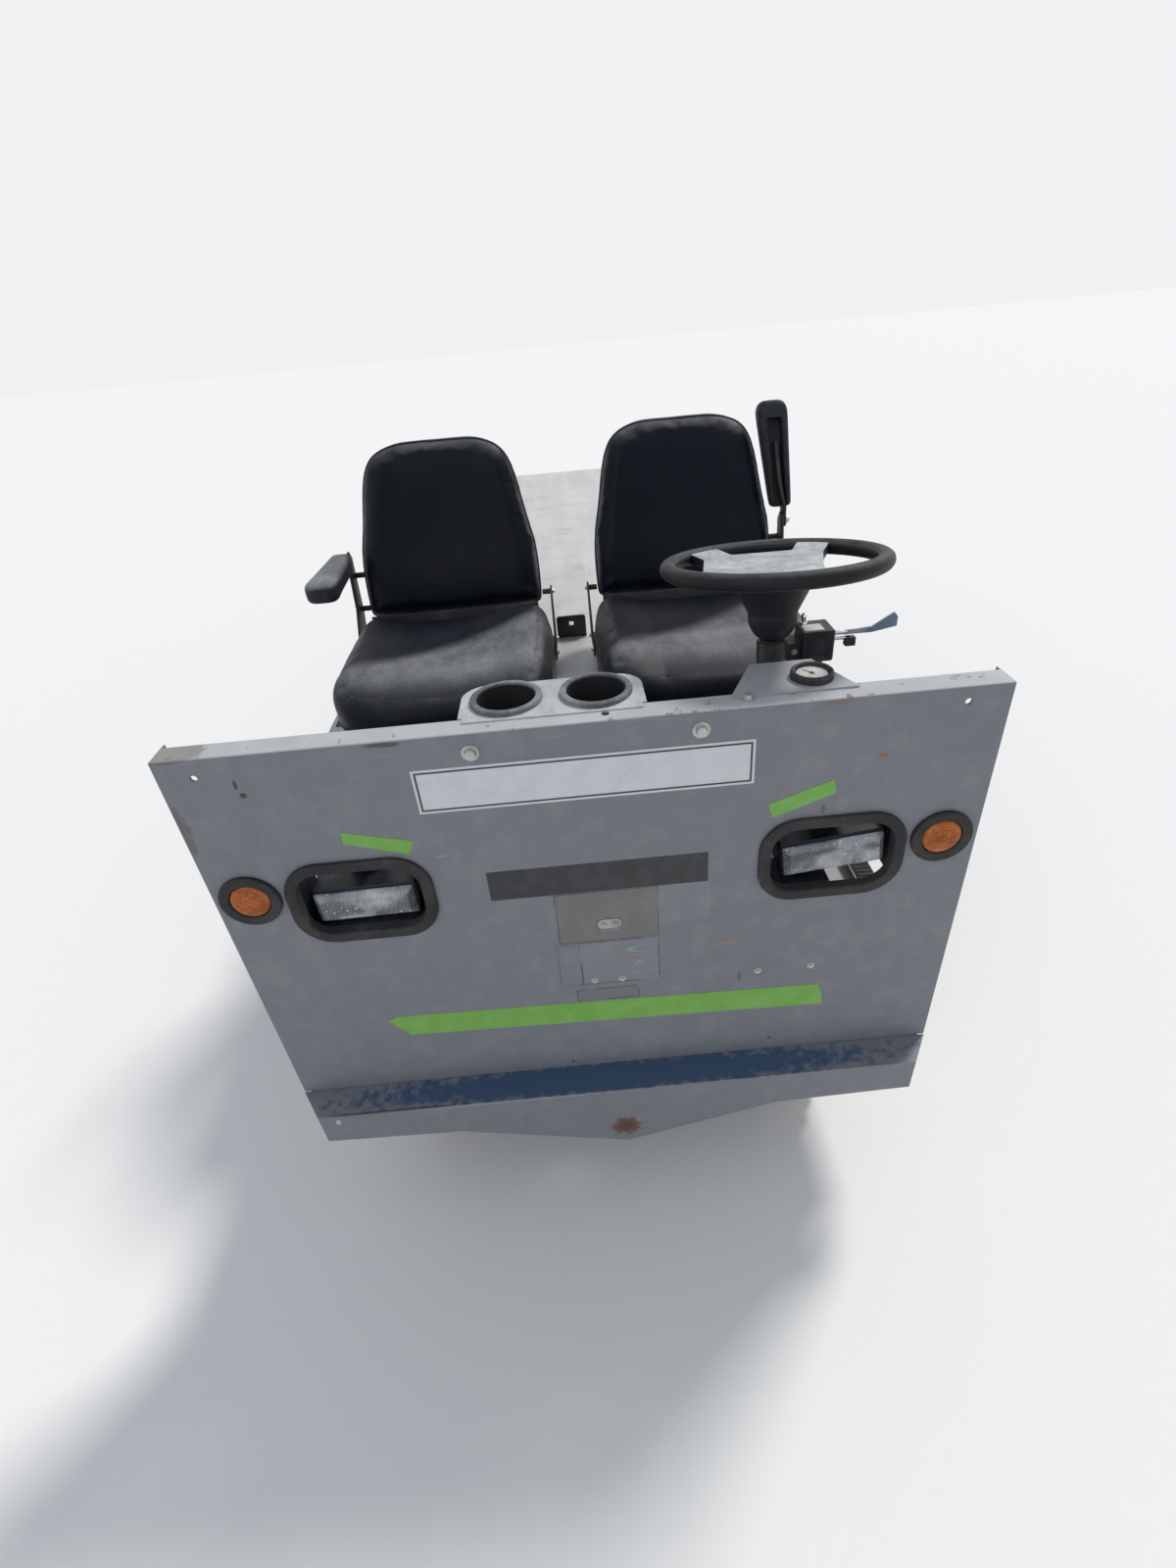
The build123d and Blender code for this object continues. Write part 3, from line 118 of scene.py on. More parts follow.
class Field:
    """One output of a shader tree, whose arithmetic adds the Math nodes that it needs."""

    def __init__(self, shader: Shader, socket: Socket) -> None:
        """Keep the tree and the socket."""
        self.shader = shader
        self.socket = socket

    def _math(self, operation: str, first: Field | float, second: Field | float) -> Field:
        """Add one Math node.

        Args:
            operation: The node's operation.
            first: Its first value.
            second: Its second value.

        Returns:
            The node's result.
        """
        return self.shader.node("ShaderNodeMath", {"operation": operation}, {0: first, 1: second})

    def __add__(self, other: Field | float) -> Field:
        """Sum."""
        return self._math("ADD", self, other)

    def __radd__(self, other: float) -> Field:
        """Sum with the number first."""
        return self._math("ADD", other, self)

    def __sub__(self, other: Field | float) -> Field:
        """Difference."""
        return self._math("SUBTRACT", self, other)

    def __rsub__(self, other: float) -> Field:
        """Difference with the number first."""
        return self._math("SUBTRACT", other, self)

    def __mul__(self, other: Field | float) -> Field:
        """Product."""
        return self._math("MULTIPLY", self, other)

    def __rmul__(self, other: float) -> Field:
        """Product with the number first."""
        return self._math("MULTIPLY", other, self)

    def __pow__(self, other: Field | float) -> Field:
        """Power."""
        return self._math("POWER", self, other)

    def __abs__(self) -> Field:
        """Size without the sign."""
        return self._math("ABSOLUTE", self, 0.0)

    def at_least(self, other: Field | float) -> Field:
        """The larger of two values."""
        return self._math("MAXIMUM", self, other)

    def at_most(self, other: Field | float) -> Field:
        """The smaller of two values."""
        return self._math("MINIMUM", self, other)

    def between(self, low: float, high: float) -> Field:
        """A smooth step from 0 at low to 1 at high; low may be the larger."""
        return self.shader.node(
            "ShaderNodeMapRange",
            {"interpolation_type": "SMOOTHSTEP"},
            {0: self, 1: low, 2: high, 3: 0.0, 4: 1.0},
        )


class Shader:
    """A material under construction, on the object's own coordinates."""

    def __init__(self, name: str) -> None:
        """Start an empty material.

        Args:
            name: The material's name.
        """
        self.material = bpy.data.materials.new(name)
        self.material.use_nodes = True
        self.tree = self.material.node_tree
        self.tree.nodes.clear()
        self.place = self.node("ShaderNodeTexCoord", output="Object")
        self.x, self.z = (self.node("ShaderNodeSeparateXYZ", None, {0: self.place}, axis) for axis in "XZ")

    def node(
        self, kind: str, settings: dict | None = None, inputs: dict | None = None, output: int | str = 0
    ) -> Field:
        """Add a node.

        Args:
            kind: The node's type.
            settings: Its properties, set before its sockets.
            inputs: Values or fields for its sockets, by name or number.
            output: The output that is wanted.

        Returns:
            That output.
        """
        made = self.tree.nodes.new(kind)
        for key, value in (settings or {}).items():
            setattr(made, key, value)
        for key, value in (inputs or {}).items():
            if isinstance(value, Field):
                self.tree.links.new(value.socket, made.inputs[key])
            else:
                made.inputs[key].default_value = value
        return Field(self, made.outputs[output])

    def vector(self, operation: str, first: Field, second: Sequence[float], output: int | str = 0) -> Field:
        """Add one Vector Math node."""
        inputs = {0: first, 1: tuple(second)}
        return self.node("ShaderNodeVectorMath", {"operation": operation}, inputs, output)

    def stretched(self, share: Sequence[float]) -> Field:
        """The object's coordinates, scaled on each axis where the scale isn't 1."""
        return self.place if tuple(share) == (1, 1, 1) else self.vector("MULTIPLY", self.place, share)

    def noise(
        self, scale: float, detail: float = 3.0, stretch: Sequence[float] = (1, 1, 1), rough: float = 0.5
    ) -> Field:
        """Cloudy noise.

        Args:
            scale: Waves per metre.
            detail: Octaves.
            stretch: Scale on each axis; a small number draws the pattern out.
            rough: How strong the small octaves are.

        Returns:
            A value around 0.5.
        """
        return self.clouds(self.stretched(stretch), scale, detail, rough)

    def clouds(self, place: Field, scale: float, detail: float, rough: float) -> Field:
        """Noise at a place of one's own."""
        inputs = {"Vector": place, "Scale": scale, "Detail": detail, "Roughness": rough}
        return self.node("ShaderNodeTexNoise", None, inputs)

    def cells(self, scale: float, feature: str = "F1") -> Field:
        """Cellular noise: the distance to a cell's centre, or to its edge."""
        inputs = {"Vector": self.place, "Scale": scale}
        return self.node("ShaderNodeTexVoronoi", {"feature": feature}, inputs, "Distance")

    def mix(self, share: Field | float, first: Field | Colour, second: Field | Colour) -> Field:
        """A colour between two colours."""
        ends = [(*end, 1.0) if isinstance(end, tuple) else end for end in (first, second)]
        return self.node("ShaderNodeMix", {"data_type": "RGBA"}, {0: share, 6: ends[0], 7: ends[1]}, output=2)

    def coats(self, colour: Field | Colour, *coats: tuple[Field | float, Field | Colour]) -> Field:
        """A colour under coats, each given as its share and its colour."""
        for share, coat in coats:
            colour = self.mix(share, colour, coat)
        return colour

    def rectangle(self, x: tuple[float, float], z: tuple[float, float], soft: float = 0.0008) -> Field:
        """A mask that is 1 inside a rectangle of the front view, whose edge is soft."""
        across = self.x.between(x[0] - soft, x[0] + soft) * self.x.between(x[1] + soft, x[1] - soft)
        above = self.z.between(z[0] - soft, z[0] + soft)
        return across * above * self.z.between(z[1] + soft, z[1] - soft)

    def blot(self, centre: Sequence[float], reach: Sequence[float]) -> Field:
        """A mask that is 1 in a ragged patch round a point, with half sizes for each axis."""
        ragged, grain = 0.6, 60.0
        near = self.vector("DIVIDE", self.vector("SUBTRACT", self.place, centre), reach)
        distance = self.node("ShaderNodeVectorMath", {"operation": "LENGTH"}, {0: near}, "Value")
        return (distance + (self.noise(grain, 4.0) - 0.5) * (2.0 * ragged)).between(1.0, 0.6)

    def attribute(self, name: str) -> Field:
        """A number that the mesh keeps for each of its points."""
        return self.node("ShaderNodeAttribute", {"attribute_name": name}, output="Fac")

    def along(self, origin: Sequence[float], direction: Sequence[float]) -> Field:
        """How far a point lies from an origin, in metres along a direction."""
        offset = self.vector("SUBTRACT", self.place, origin)
        return self.vector("DOT_PRODUCT", offset, direction, "Value")

    def slanted(self, scale: float, slope: float, stretch: float) -> Field:
        """Noise drawn out along a slope of the front view.

        Args:
            scale: Waves per metre across the slope.
            slope: The slope's angle in degrees.
            stretch: How much longer than wide a wave is.

        Returns:
            A value around 0.5.
        """
        turn = math.radians(slope)
        run = (self.x * math.cos(turn) + self.z * math.sin(turn)) * (1 / stretch)
        rise = self.z * math.cos(turn) - self.x * math.sin(turn)
        place = self.node("ShaderNodeCombineXYZ", None, {0: run, 1: 0.0, 2: rise})
        return self.clouds(place, scale, 3.0, 0.6)

    def scratches(self, scale: float, stretch: Sequence[float], width: float = 0.012) -> Field:
        """A mask of thin lines drawn out along one axis."""
        line = abs(self.noise(scale, 1.0, stretch) - 0.5).between(width, 0.0)
        return line * self.noise(7.0, 2.0).between(0.5, 0.7)

    def surface(
        self, height: Field | None = None, depth: float = 0.0003, strength: float = 0.5,
        **sockets: Field | float | Colour,
    ) -> bpy.types.Material:
        """Finish the material with one Principled shader.

        Args:
            height: The surface's fine relief, around 0 to 1.
            depth: What a height of 1 is, in metres.
            strength: How much of the relief shows.
            sockets: The shader's sockets, with _ for spaces in their names.

        Returns:
            The material.
        """
        inputs = {}
        if height is not None:
            relief = {"Height": height, "Distance": depth, "Strength": strength}
            inputs["Normal"] = self.node("ShaderNodeBump", None, relief, "Normal")
        for key, value in sockets.items():
            inputs[key.replace("_", " ")] = (*value, 1.0) if isinstance(value, tuple) else value
        shader = self.node("ShaderNodeBsdfPrincipled", None, inputs)
        output = self.tree.nodes.new("ShaderNodeOutputMaterial")
        self.tree.links.new(shader.socket, output.inputs["Surface"])
        return self.material


def length(across: Field, along: Field) -> Field:
    """How long a vector with two given parts is."""
    return (across * across + along * along) ** 0.5


def scaled(colour: Colour, share: float) -> Colour:
    """A colour made darker or lighter, no part of it over 1."""
    return tuple(min(1.0, part * share) for part in colour)


# Finishes


@dataclass(frozen=True)
class Finish:
    """A surface finish of the vehicle; make() turns it into a material once."""

    name: str

    def make(self) -> bpy.types.Material:
        """The finish's material, built at its first use."""
        return bpy.data.materials.get(self.name) or self.dress(Shader(self.name))

    def dress(self, shader: Shader) -> bpy.types.Material:
        """Build the material in a shader."""
        raise NotImplementedError


@dataclass(frozen=True)
class Blot:
    """A stain or a rust patch on painted metal, or a patch of painted shade."""

    centre: Colour
    reach: Colour
    colour: Colour
    strength: float = 1.0


@dataclass(frozen=True)
class Patch:
    """A rectangle of the front view where the paint differs, with a thin broken outline."""

    x: tuple[float, float]
    z: tuple[float, float]
    colour: Colour
    strength: float = 0.8
    outline: float = 0.8


@dataclass(frozen=True)
class GreyPaint(Finish):
    """Weathered grey paint on sheet metal: streaks, chips, scratches, dust and stains, and a painted highlight
    on the top face of a flange where one is given.
    """

    colour: Colour = (0.168, 0.178, 0.198)
    worn: Colour = (0.34, 0.35, 0.36)
    wear: float = 0.5
    blots: tuple[Blot, ...] = ()
    patches: tuple[Patch, ...] = ()
    peeled: Patch | None = None
    top_edge: float | None = None

    def dress(self, shader: Shader) -> bpy.types.Material:
        """Build the paint's material."""
        broad = shader.noise(1.6, 2.0).between(0.3, 0.7)
        streak = shader.noise(9.0, 4.0, (5.0, 5.0, 0.3), 0.6).between(0.4, 0.75)
        fall = shader.noise(30.0, 3.0, (5.0, 5.0, 0.2)).between(0.5, 0.72)
        grain = shader.noise(420.0, 2.0)
        colour = shader.coats(
            self.colour,
            (broad * 0.3, scaled(self.colour, 0.90)),
            (streak * 0.22, scaled(self.colour, 1.18)),
            (fall * 0.22, scaled(self.colour, 0.82)),
        )
        for patch in self.patches:
            colour = self.patched(shader, colour, patch)
        if self.peeled is not None:
            inside = shader.rectangle(self.peeled.x, self.peeled.z, 0.006)
            flecks = inside * shader.slanted(75.0, 42.0, 5.0).between(0.56, 0.6)
            colour = shader.mix(flecks * self.peeled.strength, colour, self.peeled.colour)
        chips = shader.noise(75.0, 5.0, rough=0.7).between(0.66, 0.69)
        chips = chips * shader.noise(5.0, 2.0).between(0.45, 0.6)
        lines = shader.scratches(14.0, (1.0, 1.0, 0.08), 0.005) * 0.4
        lines = lines + shader.scratches(16.0, (0.06, 1.0, 1.0), 0.005) * 0.3
        scuffed = (chips + lines) * self.wear
        colour = shader.mix(scuffed.at_most(1.0) * 0.5, colour, scaled(self.colour, 0.42))
        bright = shader.scratches(18.0, (0.05, 1.0, 1.0), 0.003) * self.wear * 0.5
        # Painted highlight: the top face of the flange is mixed to the worn colour like sunlit paint; the
        # bright scratches before it and the dark chips in it are real wear.
        if self.top_edge is not None:
            upper = shader.z.between(self.top_edge - 0.0022, self.top_edge - 0.0008)
            bright = bright + upper * (0.55 + shader.noise(16.0, 4.0) * 0.7)
            chipped = upper * shader.noise(34.0, 5.0, rough=0.7).between(0.6, 0.64)
        colour = shader.mix(bright.at_most(1.0), colour, self.worn)
        if self.top_edge is not None:
            colour = shader.mix(chipped * 0.8, colour, (0.12, 0.085, 0.07))
        dust = shader.noise(30.0, 4.0).between(0.4, 0.8) * 0.12
        colour = shader.mix(dust, colour, (0.42, 0.39, 0.33))
        for blot in self.blots:
            mark = shader.blot(blot.centre, blot.reach)
            colour = shader.mix(mark * blot.strength, colour, blot.colour)
        height = grain * 0.15 + shader.noise(60.0, 2.0) * 0.5 - scuffed * 0.4
        rough = 0.42 + broad * 0.12 + grain * 0.08 + bright * 0.08
        return shader.surface(height, Base_Color=colour, Roughness=rough, Specular_IOR_Level=0.4)

    def patched(self, shader: Shader, colour: Field, patch: Patch) -> Field:
        """Lay one patch over a colour, with its broken outline."""
        (x0, x1), (z0, z1), line = patch.x, patch.z, 0.0011
        worn = shader.noise(38.0, 5.0, (1.0, 1.0, 0.5), 0.68)
        inside = shader.rectangle(patch.x, patch.z) * (0.45 + worn * 0.9) * patch.strength
        outer = shader.rectangle((x0 - line, x1 + line), (z0 - line, z1 + line))
        inner = shader.rectangle((x0 + line, x1 - line), (z0 + line, z1 - line))
        broken = (outer - inner) * shader.noise(24.0, 3.0).between(0.38, 0.5)
        edge = (broken * patch.outline, (0.045, 0.042, 0.045))
        return shader.coats(colour, (inside.at_most(1.0), patch.colour), edge)


@dataclass(frozen=True)
class WornSteel(Finish):
    """Pale load deck: thin grey paint worn down to steel by what slides over it."""

    colour: Colour = (0.50, 0.51, 0.50)

    def dress(self, shader: Shader) -> bpy.types.Material:
        """Build the deck's material."""
        broad = shader.noise(3.0, 4.0).between(0.3, 0.7)
        drag = shader.noise(18.0, 4.0, (1.0, 0.08, 1.0)).between(0.4, 0.65)
        stain = shader.noise(11.0, 5.0, rough=0.65).between(0.52, 0.75)
        lines = shader.scratches(30.0, (1.0, 0.1, 1.0)) + shader.scratches(24.0, (0.12, 1.0, 1.0))
        arcs = shader.scratches(9.0, (1.0, 0.7, 1.0), 0.006)
        colour = shader.coats(
            self.colour,
            (broad * 0.5, scaled(self.colour, 0.8)),
            (drag * 0.35, (0.60, 0.61, 0.60)),
            (stain * 0.4, (0.30, 0.285, 0.26)),
            ((lines * 0.6 + arcs * 0.6).at_most(0.8), (0.22, 0.22, 0.22)),
        )
        rough = 0.5 + broad * 0.15 - lines * 0.1
        height = shader.noise(260.0, 2.0) * 0.3 - lines * 0.5
        return shader.surface(height, strength=0.6, Base_Color=colour, Metallic=0.25, Roughness=rough)


@dataclass(frozen=True)
class Vinyl(Finish):
    """Black grained vinyl, its navy tint a painted sky reflection; the mesh's own dust value says where it is
    rubbed grey, and on the seats also where sunlit areas and lit edges are painted.
    """

    # The navy tint of the black base is a painted reflection of blue sky.
    base: Colour = (0.0014, 0.0034, 0.0088)
    film: Colour = (0.285, 0.295, 0.300)

    def dress(self, shader: Shader) -> bpy.types.Material:
        """Build the vinyl's material."""
        grain = shader.cells(430.0, "DISTANCE_TO_EDGE").between(0.0, 0.16)
        fold = shader.noise(22.0, 3.0, (1.0, 1.3, 1.0))
        cloud = shader.noise(6.0, 4.0, rough=0.55).between(0.25, 0.75)
        rub = shader.noise(40.0, 4.0, (1.0, 0.45, 1.0), 0.65).between(0.35, 0.72)
        fine = shader.noise(190.0, 4.0, rough=0.72).between(0.3, 0.75)
        # On the seats the dust value also carries painted light: sunlit areas, lit edge rolls and a dark front
        # roll.
        dust = (shader.attribute("dust") * (0.30 + cloud * 0.40 + rub * 0.24 + fine * 0.22)).at_most(0.95)
        crack = shader.cells(64.0, "DISTANCE_TO_EDGE").between(0.012, 0.0)
        crack = crack * shader.noise(12.0, 2.0).between(0.6, 0.72) * dust
        colour = shader.coats(self.base, (dust, self.film), (crack * 0.3, (0.09, 0.09, 0.09)))
        rough = (0.36 + fold * 0.10 + dust * 0.42).at_most(0.88)
        height = grain * 0.5 + fold * 1.3 - crack * 0.6
        return shader.surface(height, 0.0004, Base_Color=colour, Roughness=rough, Specular_IOR_Level=0.12)


@dataclass(frozen=True)
class Moulded(Finish):
    """Moulded plastic or rubber with a fine grain and a film of dust."""

    colour: Colour = (0.016, 0.017, 0.019)
    dust: Colour = (0.22, 0.215, 0.20)
    dusty: float = 0.25
    rough: float = 0.5

    def dress(self, shader: Shader) -> bpy.types.Material:
        """Build the moulding's material."""
        cloud = shader.noise(14.0, 5.0, rough=0.6).between(0.35, 0.75)
        fine = shader.noise(160.0, 3.0).between(0.4, 0.75)
        scrape = shader.scratches(40.0, (1.0, 0.3, 1.0))
        film = (cloud * 0.8 + fine * 0.3) * self.dusty
        colour = shader.coats(self.colour, (film.at_most(0.9), self.dust), (scrape * 0.3, self.dust))
        rough = (self.rough + film * 0.5).at_most(0.92)
        height = shader.noise(700.0, 2.0) * 0.5 + shader.noise(60.0, 2.0) * 0.3
        return shader.surface(height, 0.0002, Base_Color=colour, Roughness=rough, Specular_IOR_Level=0.22)


@dataclass(frozen=True)
class Metal(Finish):
    """Bare or plated metal with brushed grain, tarnish and some rust."""

    colour: Colour = (0.55, 0.55, 0.56)
    rough: float = 0.35
    rust: float = 0.1

    def dress(self, shader: Shader) -> bpy.types.Material:
        """Build the metal's material."""
        brushed = shader.noise(220.0, 2.0, (1.0, 0.15, 1.0))
        tarnish = shader.noise(35.0, 4.0).between(0.4, 0.75)
        spots = shader.noise(120.0, 4.0, rough=0.7).between(0.62, 0.7) * self.rust * 4.0
        rusty = spots.at_most(1.0)
        tint = scaled(self.colour, 0.55)
        colour = shader.coats(self.colour, (tarnish * 0.5, tint), (rusty, (0.16, 0.06, 0.022)))
        rough = self.rough + tarnish * 0.2 + brushed * 0.08
        height = brushed * 0.4 + spots * 0.4
        return shader.surface(
            height, 0.0002, 0.4, Base_Color=colour, Metallic=1.0 - rusty * 0.9, Roughness=rough
        )


@dataclass(frozen=True)
class TyreRubber(Finish):
    """Cream non-marking tyre rubber, greyed on its tread and stained by dirt."""

    colour: Colour = (0.62, 0.57, 0.46)

    def dress(self, shader: Shader) -> bpy.types.Material:
        """Build the tyre's material."""
        cloud = shader.noise(12.0, 5.0, rough=0.62).between(0.38, 0.72)
        speck = shader.noise(150.0, 4.0, rough=0.7).between(0.52, 0.75)
        colour = shader.coats(
            self.colour,
            (cloud * 0.45, (0.40, 0.355, 0.27)),
            (speck * 0.5, (0.13, 0.115, 0.095)),
            (shader.z.between(0.2, 0.0) * 0.35, (0.30, 0.27, 0.22)),
        )
        height = shader.noise(500.0, 2.0) * 0.4 + speck * 0.3
        return shader.surface(height, 0.0004, 0.6, Base_Color=colour, Roughness=0.82)


@dataclass(frozen=True)
class LampGlass(Finish):
    """Ribbed lamp glass over its silvered bowl, drawn in painted reflections: bluish frosted bevels, grey
    mottled depths, lighter ribs and painted glints on the prisms.
    """

    front: float = -1.709

    def dress(self, shader: Shader) -> bpy.types.Material:
        """Build the glass's material."""
        depth = shader.along((0.0, self.front, 0.0), (0.0, 1.0, 0.0))
        frosted = depth.between(0.0012, 0.0022) * shader.noise(70.0, 3.0).between(0.3, 0.6)
        bowl = shader.noise(15.0, 2.0, (1.0, 1.0, 1.8)).between(0.38, 0.64)
        ribs = shader.slanted(260.0, 78.0, 8.0).between(0.42, 0.66)
        painted_glints = shader.cells(150.0).between(0.26, 0.12) * shader.noise(24.0, 3.0).between(0.47, 0.58)
        # Painted reflections and highlights: the mottled grey of the silvered bowl, the lighter ribs, white
        # glints and a bluish sky reflection on the bevels.
        colour = shader.coats(
            (0.095, 0.102, 0.104),
            (bowl, (0.38, 0.39, 0.40)),
            (ribs * (0.15 + bowl * 0.4), (0.44, 0.46, 0.47)),
            (painted_glints * 0.9, (0.90, 0.92, 0.95)),
            (frosted * 0.55, (0.24, 0.28, 0.35)),
        )
        height = ribs * 0.8 + shader.cells(150.0) * 0.8
        return shader.surface(
            height, 0.0005, 0.6, Base_Color=colour, Roughness=0.2 + frosted * 0.25, Metallic=0.15,
            Coat_Weight=0.35, Coat_Roughness=0.08, Specular_IOR_Level=0.3,
        )


@dataclass(frozen=True)
class Lens(Finish):
    """Coloured lamp lens with rings of small prisms round its middle."""

    colour: Colour = (0.50, 0.135, 0.012)
    deep: Colour = (0.20, 0.040, 0.003)

    def dress(self, shader: Shader) -> bpy.types.Material:
        """Build the lens's material."""
        prisms = shader.cells(200.0).between(0.1, 0.7)
        cloud = shader.noise(45.0, 3.0).between(0.35, 0.7)
        colour = shader.mix(prisms * 0.4 + cloud * 0.5, self.colour, self.deep)
        return shader.surface(
            prisms, 0.0004, 0.4, Base_Color=colour, Roughness=0.16 + cloud * 0.14,
            Coat_Weight=0.1, Coat_Roughness=0.08, Specular_IOR_Level=0.3,
        )


@dataclass(frozen=True)
class Film(Finish):
    """Adhesive tape or a sticker, with creases, fine ribs and worn places."""

    colour: Colour = (0.15, 0.36, 0.055)
    worn: Colour = (0.22, 0.42, 0.12)
    ribs: float = 0.0
    rough: float = 0.6

    def dress(self, shader: Shader) -> bpy.types.Material:
        """Build the film's material."""
        cloud = shader.noise(35.0, 4.0).between(0.35, 0.7)
        crease = shader.noise(90.0, 2.0, (1.0, 1.0, 0.3))
        scuff = shader.noise(130.0, 4.0, rough=0.75).between(0.62, 0.72)
        colour = shader.coats(self.colour, (cloud * 0.5, self.worn), (scuff * 0.5, scaled(self.colour, 0.5)))
        height = crease * 0.5 + shader.noise(700.0, 1.0, (1.0, 1.0, 0.15)) * self.ribs
        return shader.surface(height, 0.0004, Base_Color=colour, Roughness=self.rough)


@dataclass(frozen=True)
class ConsolePlastic(Finish):
    """Pale sun-bleached plastic of the cup console, black inside its cups."""

    cups: tuple[tuple[float, float], ...] = ()
    radius: float = 0.0435

    def dress(self, shader: Shader) -> bpy.types.Material:
        """Build the console's material."""
        cloud = shader.noise(16.0, 5.0, rough=0.62).between(0.3, 0.72)
        rub = shader.noise(55.0, 4.0, (1.0, 0.4, 1.0), 0.7).between(0.42, 0.7)
        speck = shader.noise(210.0, 3.0, rough=0.7).between(0.6, 0.72)
        colour = shader.coats(
            (0.36, 0.38, 0.395),
            (cloud, (0.50, 0.515, 0.52)),
            (rub * 0.35, (0.20, 0.21, 0.22)),
            (speck * 0.5, (0.08, 0.08, 0.085)),
            (shader.z.between(1.1095, 1.106) * 0.7, (0.075, 0.08, 0.085)),
        )
        for x, y in self.cups:
            right = shader.along((x, y, 0.0), (1.0, 0.0, 0.0))
            back = shader.along((x, y, 0.0), (0.0, 1.0, 0.0))
            inside = length(right, back).between(self.radius + 0.0006, self.radius)
            colour = shader.mix(inside, colour, (0.010, 0.011, 0.013))
        height = shader.noise(600.0, 2.0) * 0.5 + rub * 0.4
        return shader.surface(height, 0.0002, Base_Color=colour, Roughness=0.55 + cloud * 0.2)


@dataclass(frozen=True)
class WheelFoam(Finish):
    """The steering wheel: black foam ring with a lighter top, pale dusty pad and black shroud, told apart along
    its axis.
    """

    centre: Colour = (0.0, 0.0, 0.0)
    axis: Colour = (0.0, 0.0, 1.0)

    def dress(self, shader: Shader) -> bpy.types.Material:
        """Build the steering wheel's material."""
        up = shader.along(self.centre, self.axis)
        right = shader.along(self.centre, (1.0, 0.0, 0.0))
        back = shader.along(self.centre, (0.0, self.axis[2], -self.axis[1]))
        radial = length(right, back)
        cloud = shader.noise(18.0, 5.0, rough=0.6).between(0.3, 0.75)
        rub = shader.noise(70.0, 4.0, (1.0, 0.5, 1.0), 0.68).between(0.4, 0.72)
        fine = shader.noise(260.0, 3.0, rough=0.7).between(0.35, 0.75)
        pad = up.between(0.0062, 0.0074) * radial.between(0.1540, 0.1510)
        # The ring's lighter top is partly dust and partly a painted highlight of its sunlit top.
        crown = radial.between(0.148, 0.154) * up.between(0.0035, 0.0125)
        thumb = radial.between(0.163, 0.150) * up.between(-0.004, 0.006) * radial.between(0.140, 0.150)
        worn = (crown * (0.10 + cloud * 0.45 + rub * 0.3)).at_most(1.0)
        near = right.between(-0.012, -0.004) * right.between(0.056, 0.046)
        near = near * back.between(-0.096, -0.090) * back.between(-0.060, -0.068)
        scars = shader.slanted(60.0, 20.0, 4.0).between(0.60, 0.64) * near
        face = shader.coats(
            (0.30, 0.315, 0.325),
            (cloud, (0.50, 0.52, 0.53)),
            (rub * 0.5, (0.16, 0.17, 0.175)),
            (scars.at_most(1.0), (0.03, 0.03, 0.032)),
        )
        for x, y in ((-0.082, 0.092), (-0.070, 0.086)):
            dot = length(right - x, back - y).between(0.0032, 0.0022)
            face = shader.mix(dot, face, (0.03, 0.03, 0.035))
        shroud = up.between(-0.0085, -0.0105)
        colour = shader.coats(
            (0.006, 0.007, 0.009),
            (fine * 0.3, (0.014, 0.015, 0.017)),
            (worn * 0.36, (0.22, 0.23, 0.235)),
            (thumb * 0.12, (0.14, 0.145, 0.15)),
            (pad, face),
            (shroud * (0.20 + cloud * 0.3), (0.050, 0.055, 0.062)),
        )
        height = shader.noise(900.0, 2.0) * 0.4 + shader.cells(480.0) * 0.3 + rub * 0.2
        rough = 0.46 + fine * 0.1 + pad * 0.1 + crown * 0.12
        return shader.surface(height, 0.0002, Base_Color=colour, Roughness=rough, Specular_IOR_Level=0.2)


@dataclass(frozen=True)
class SwitchParts(Finish):
    """The direction switch: black box, bright lever with a blue-grey blade, thin rod and black knob."""

    wall: float = 0.4155
    split: float = 1.0985
    blade: float = 0.455
    knob: float = 0.4388

    def dress(self, shader: Shader) -> bpy.types.Material:
        """Build the switch's material."""
        soft = 0.0003
        outside = shader.x.between(self.wall - soft, self.wall + soft)
        upper = shader.z.between(self.split - soft, self.split + soft)
        block = outside * (1.0 - upper) * shader.x.between(self.knob - soft, self.knob + soft)
        metal = (outside - block).at_least(0.0)
        fin = metal * upper * shader.x.between(self.blade, self.blade + 0.022)
        brushed = shader.noise(300.0, 3.0, (0.15, 1.0, 1.0))
        dust = shader.noise(24.0, 5.0, rough=0.62).between(0.42, 0.78)
        colour = shader.coats(
            (0.012, 0.013, 0.016),
            (dust * 0.3, (0.10, 0.105, 0.11)),
            (metal, (0.62, 0.64, 0.66)),
            (fin * 0.9, (0.13, 0.19, 0.28)),
        )
        rough = (0.42 + dust * 0.2 - metal * (0.18 - brushed * 0.12)).at_least(0.12)
        height = shader.noise(650.0, 2.0) * (1.0 - metal) + brushed * metal * 0.3
        shine = metal * (1.0 - fin * 0.6)
        return shader.surface(height, 0.0002, 0.4, Base_Color=colour, Metallic=shine, Roughness=rough)


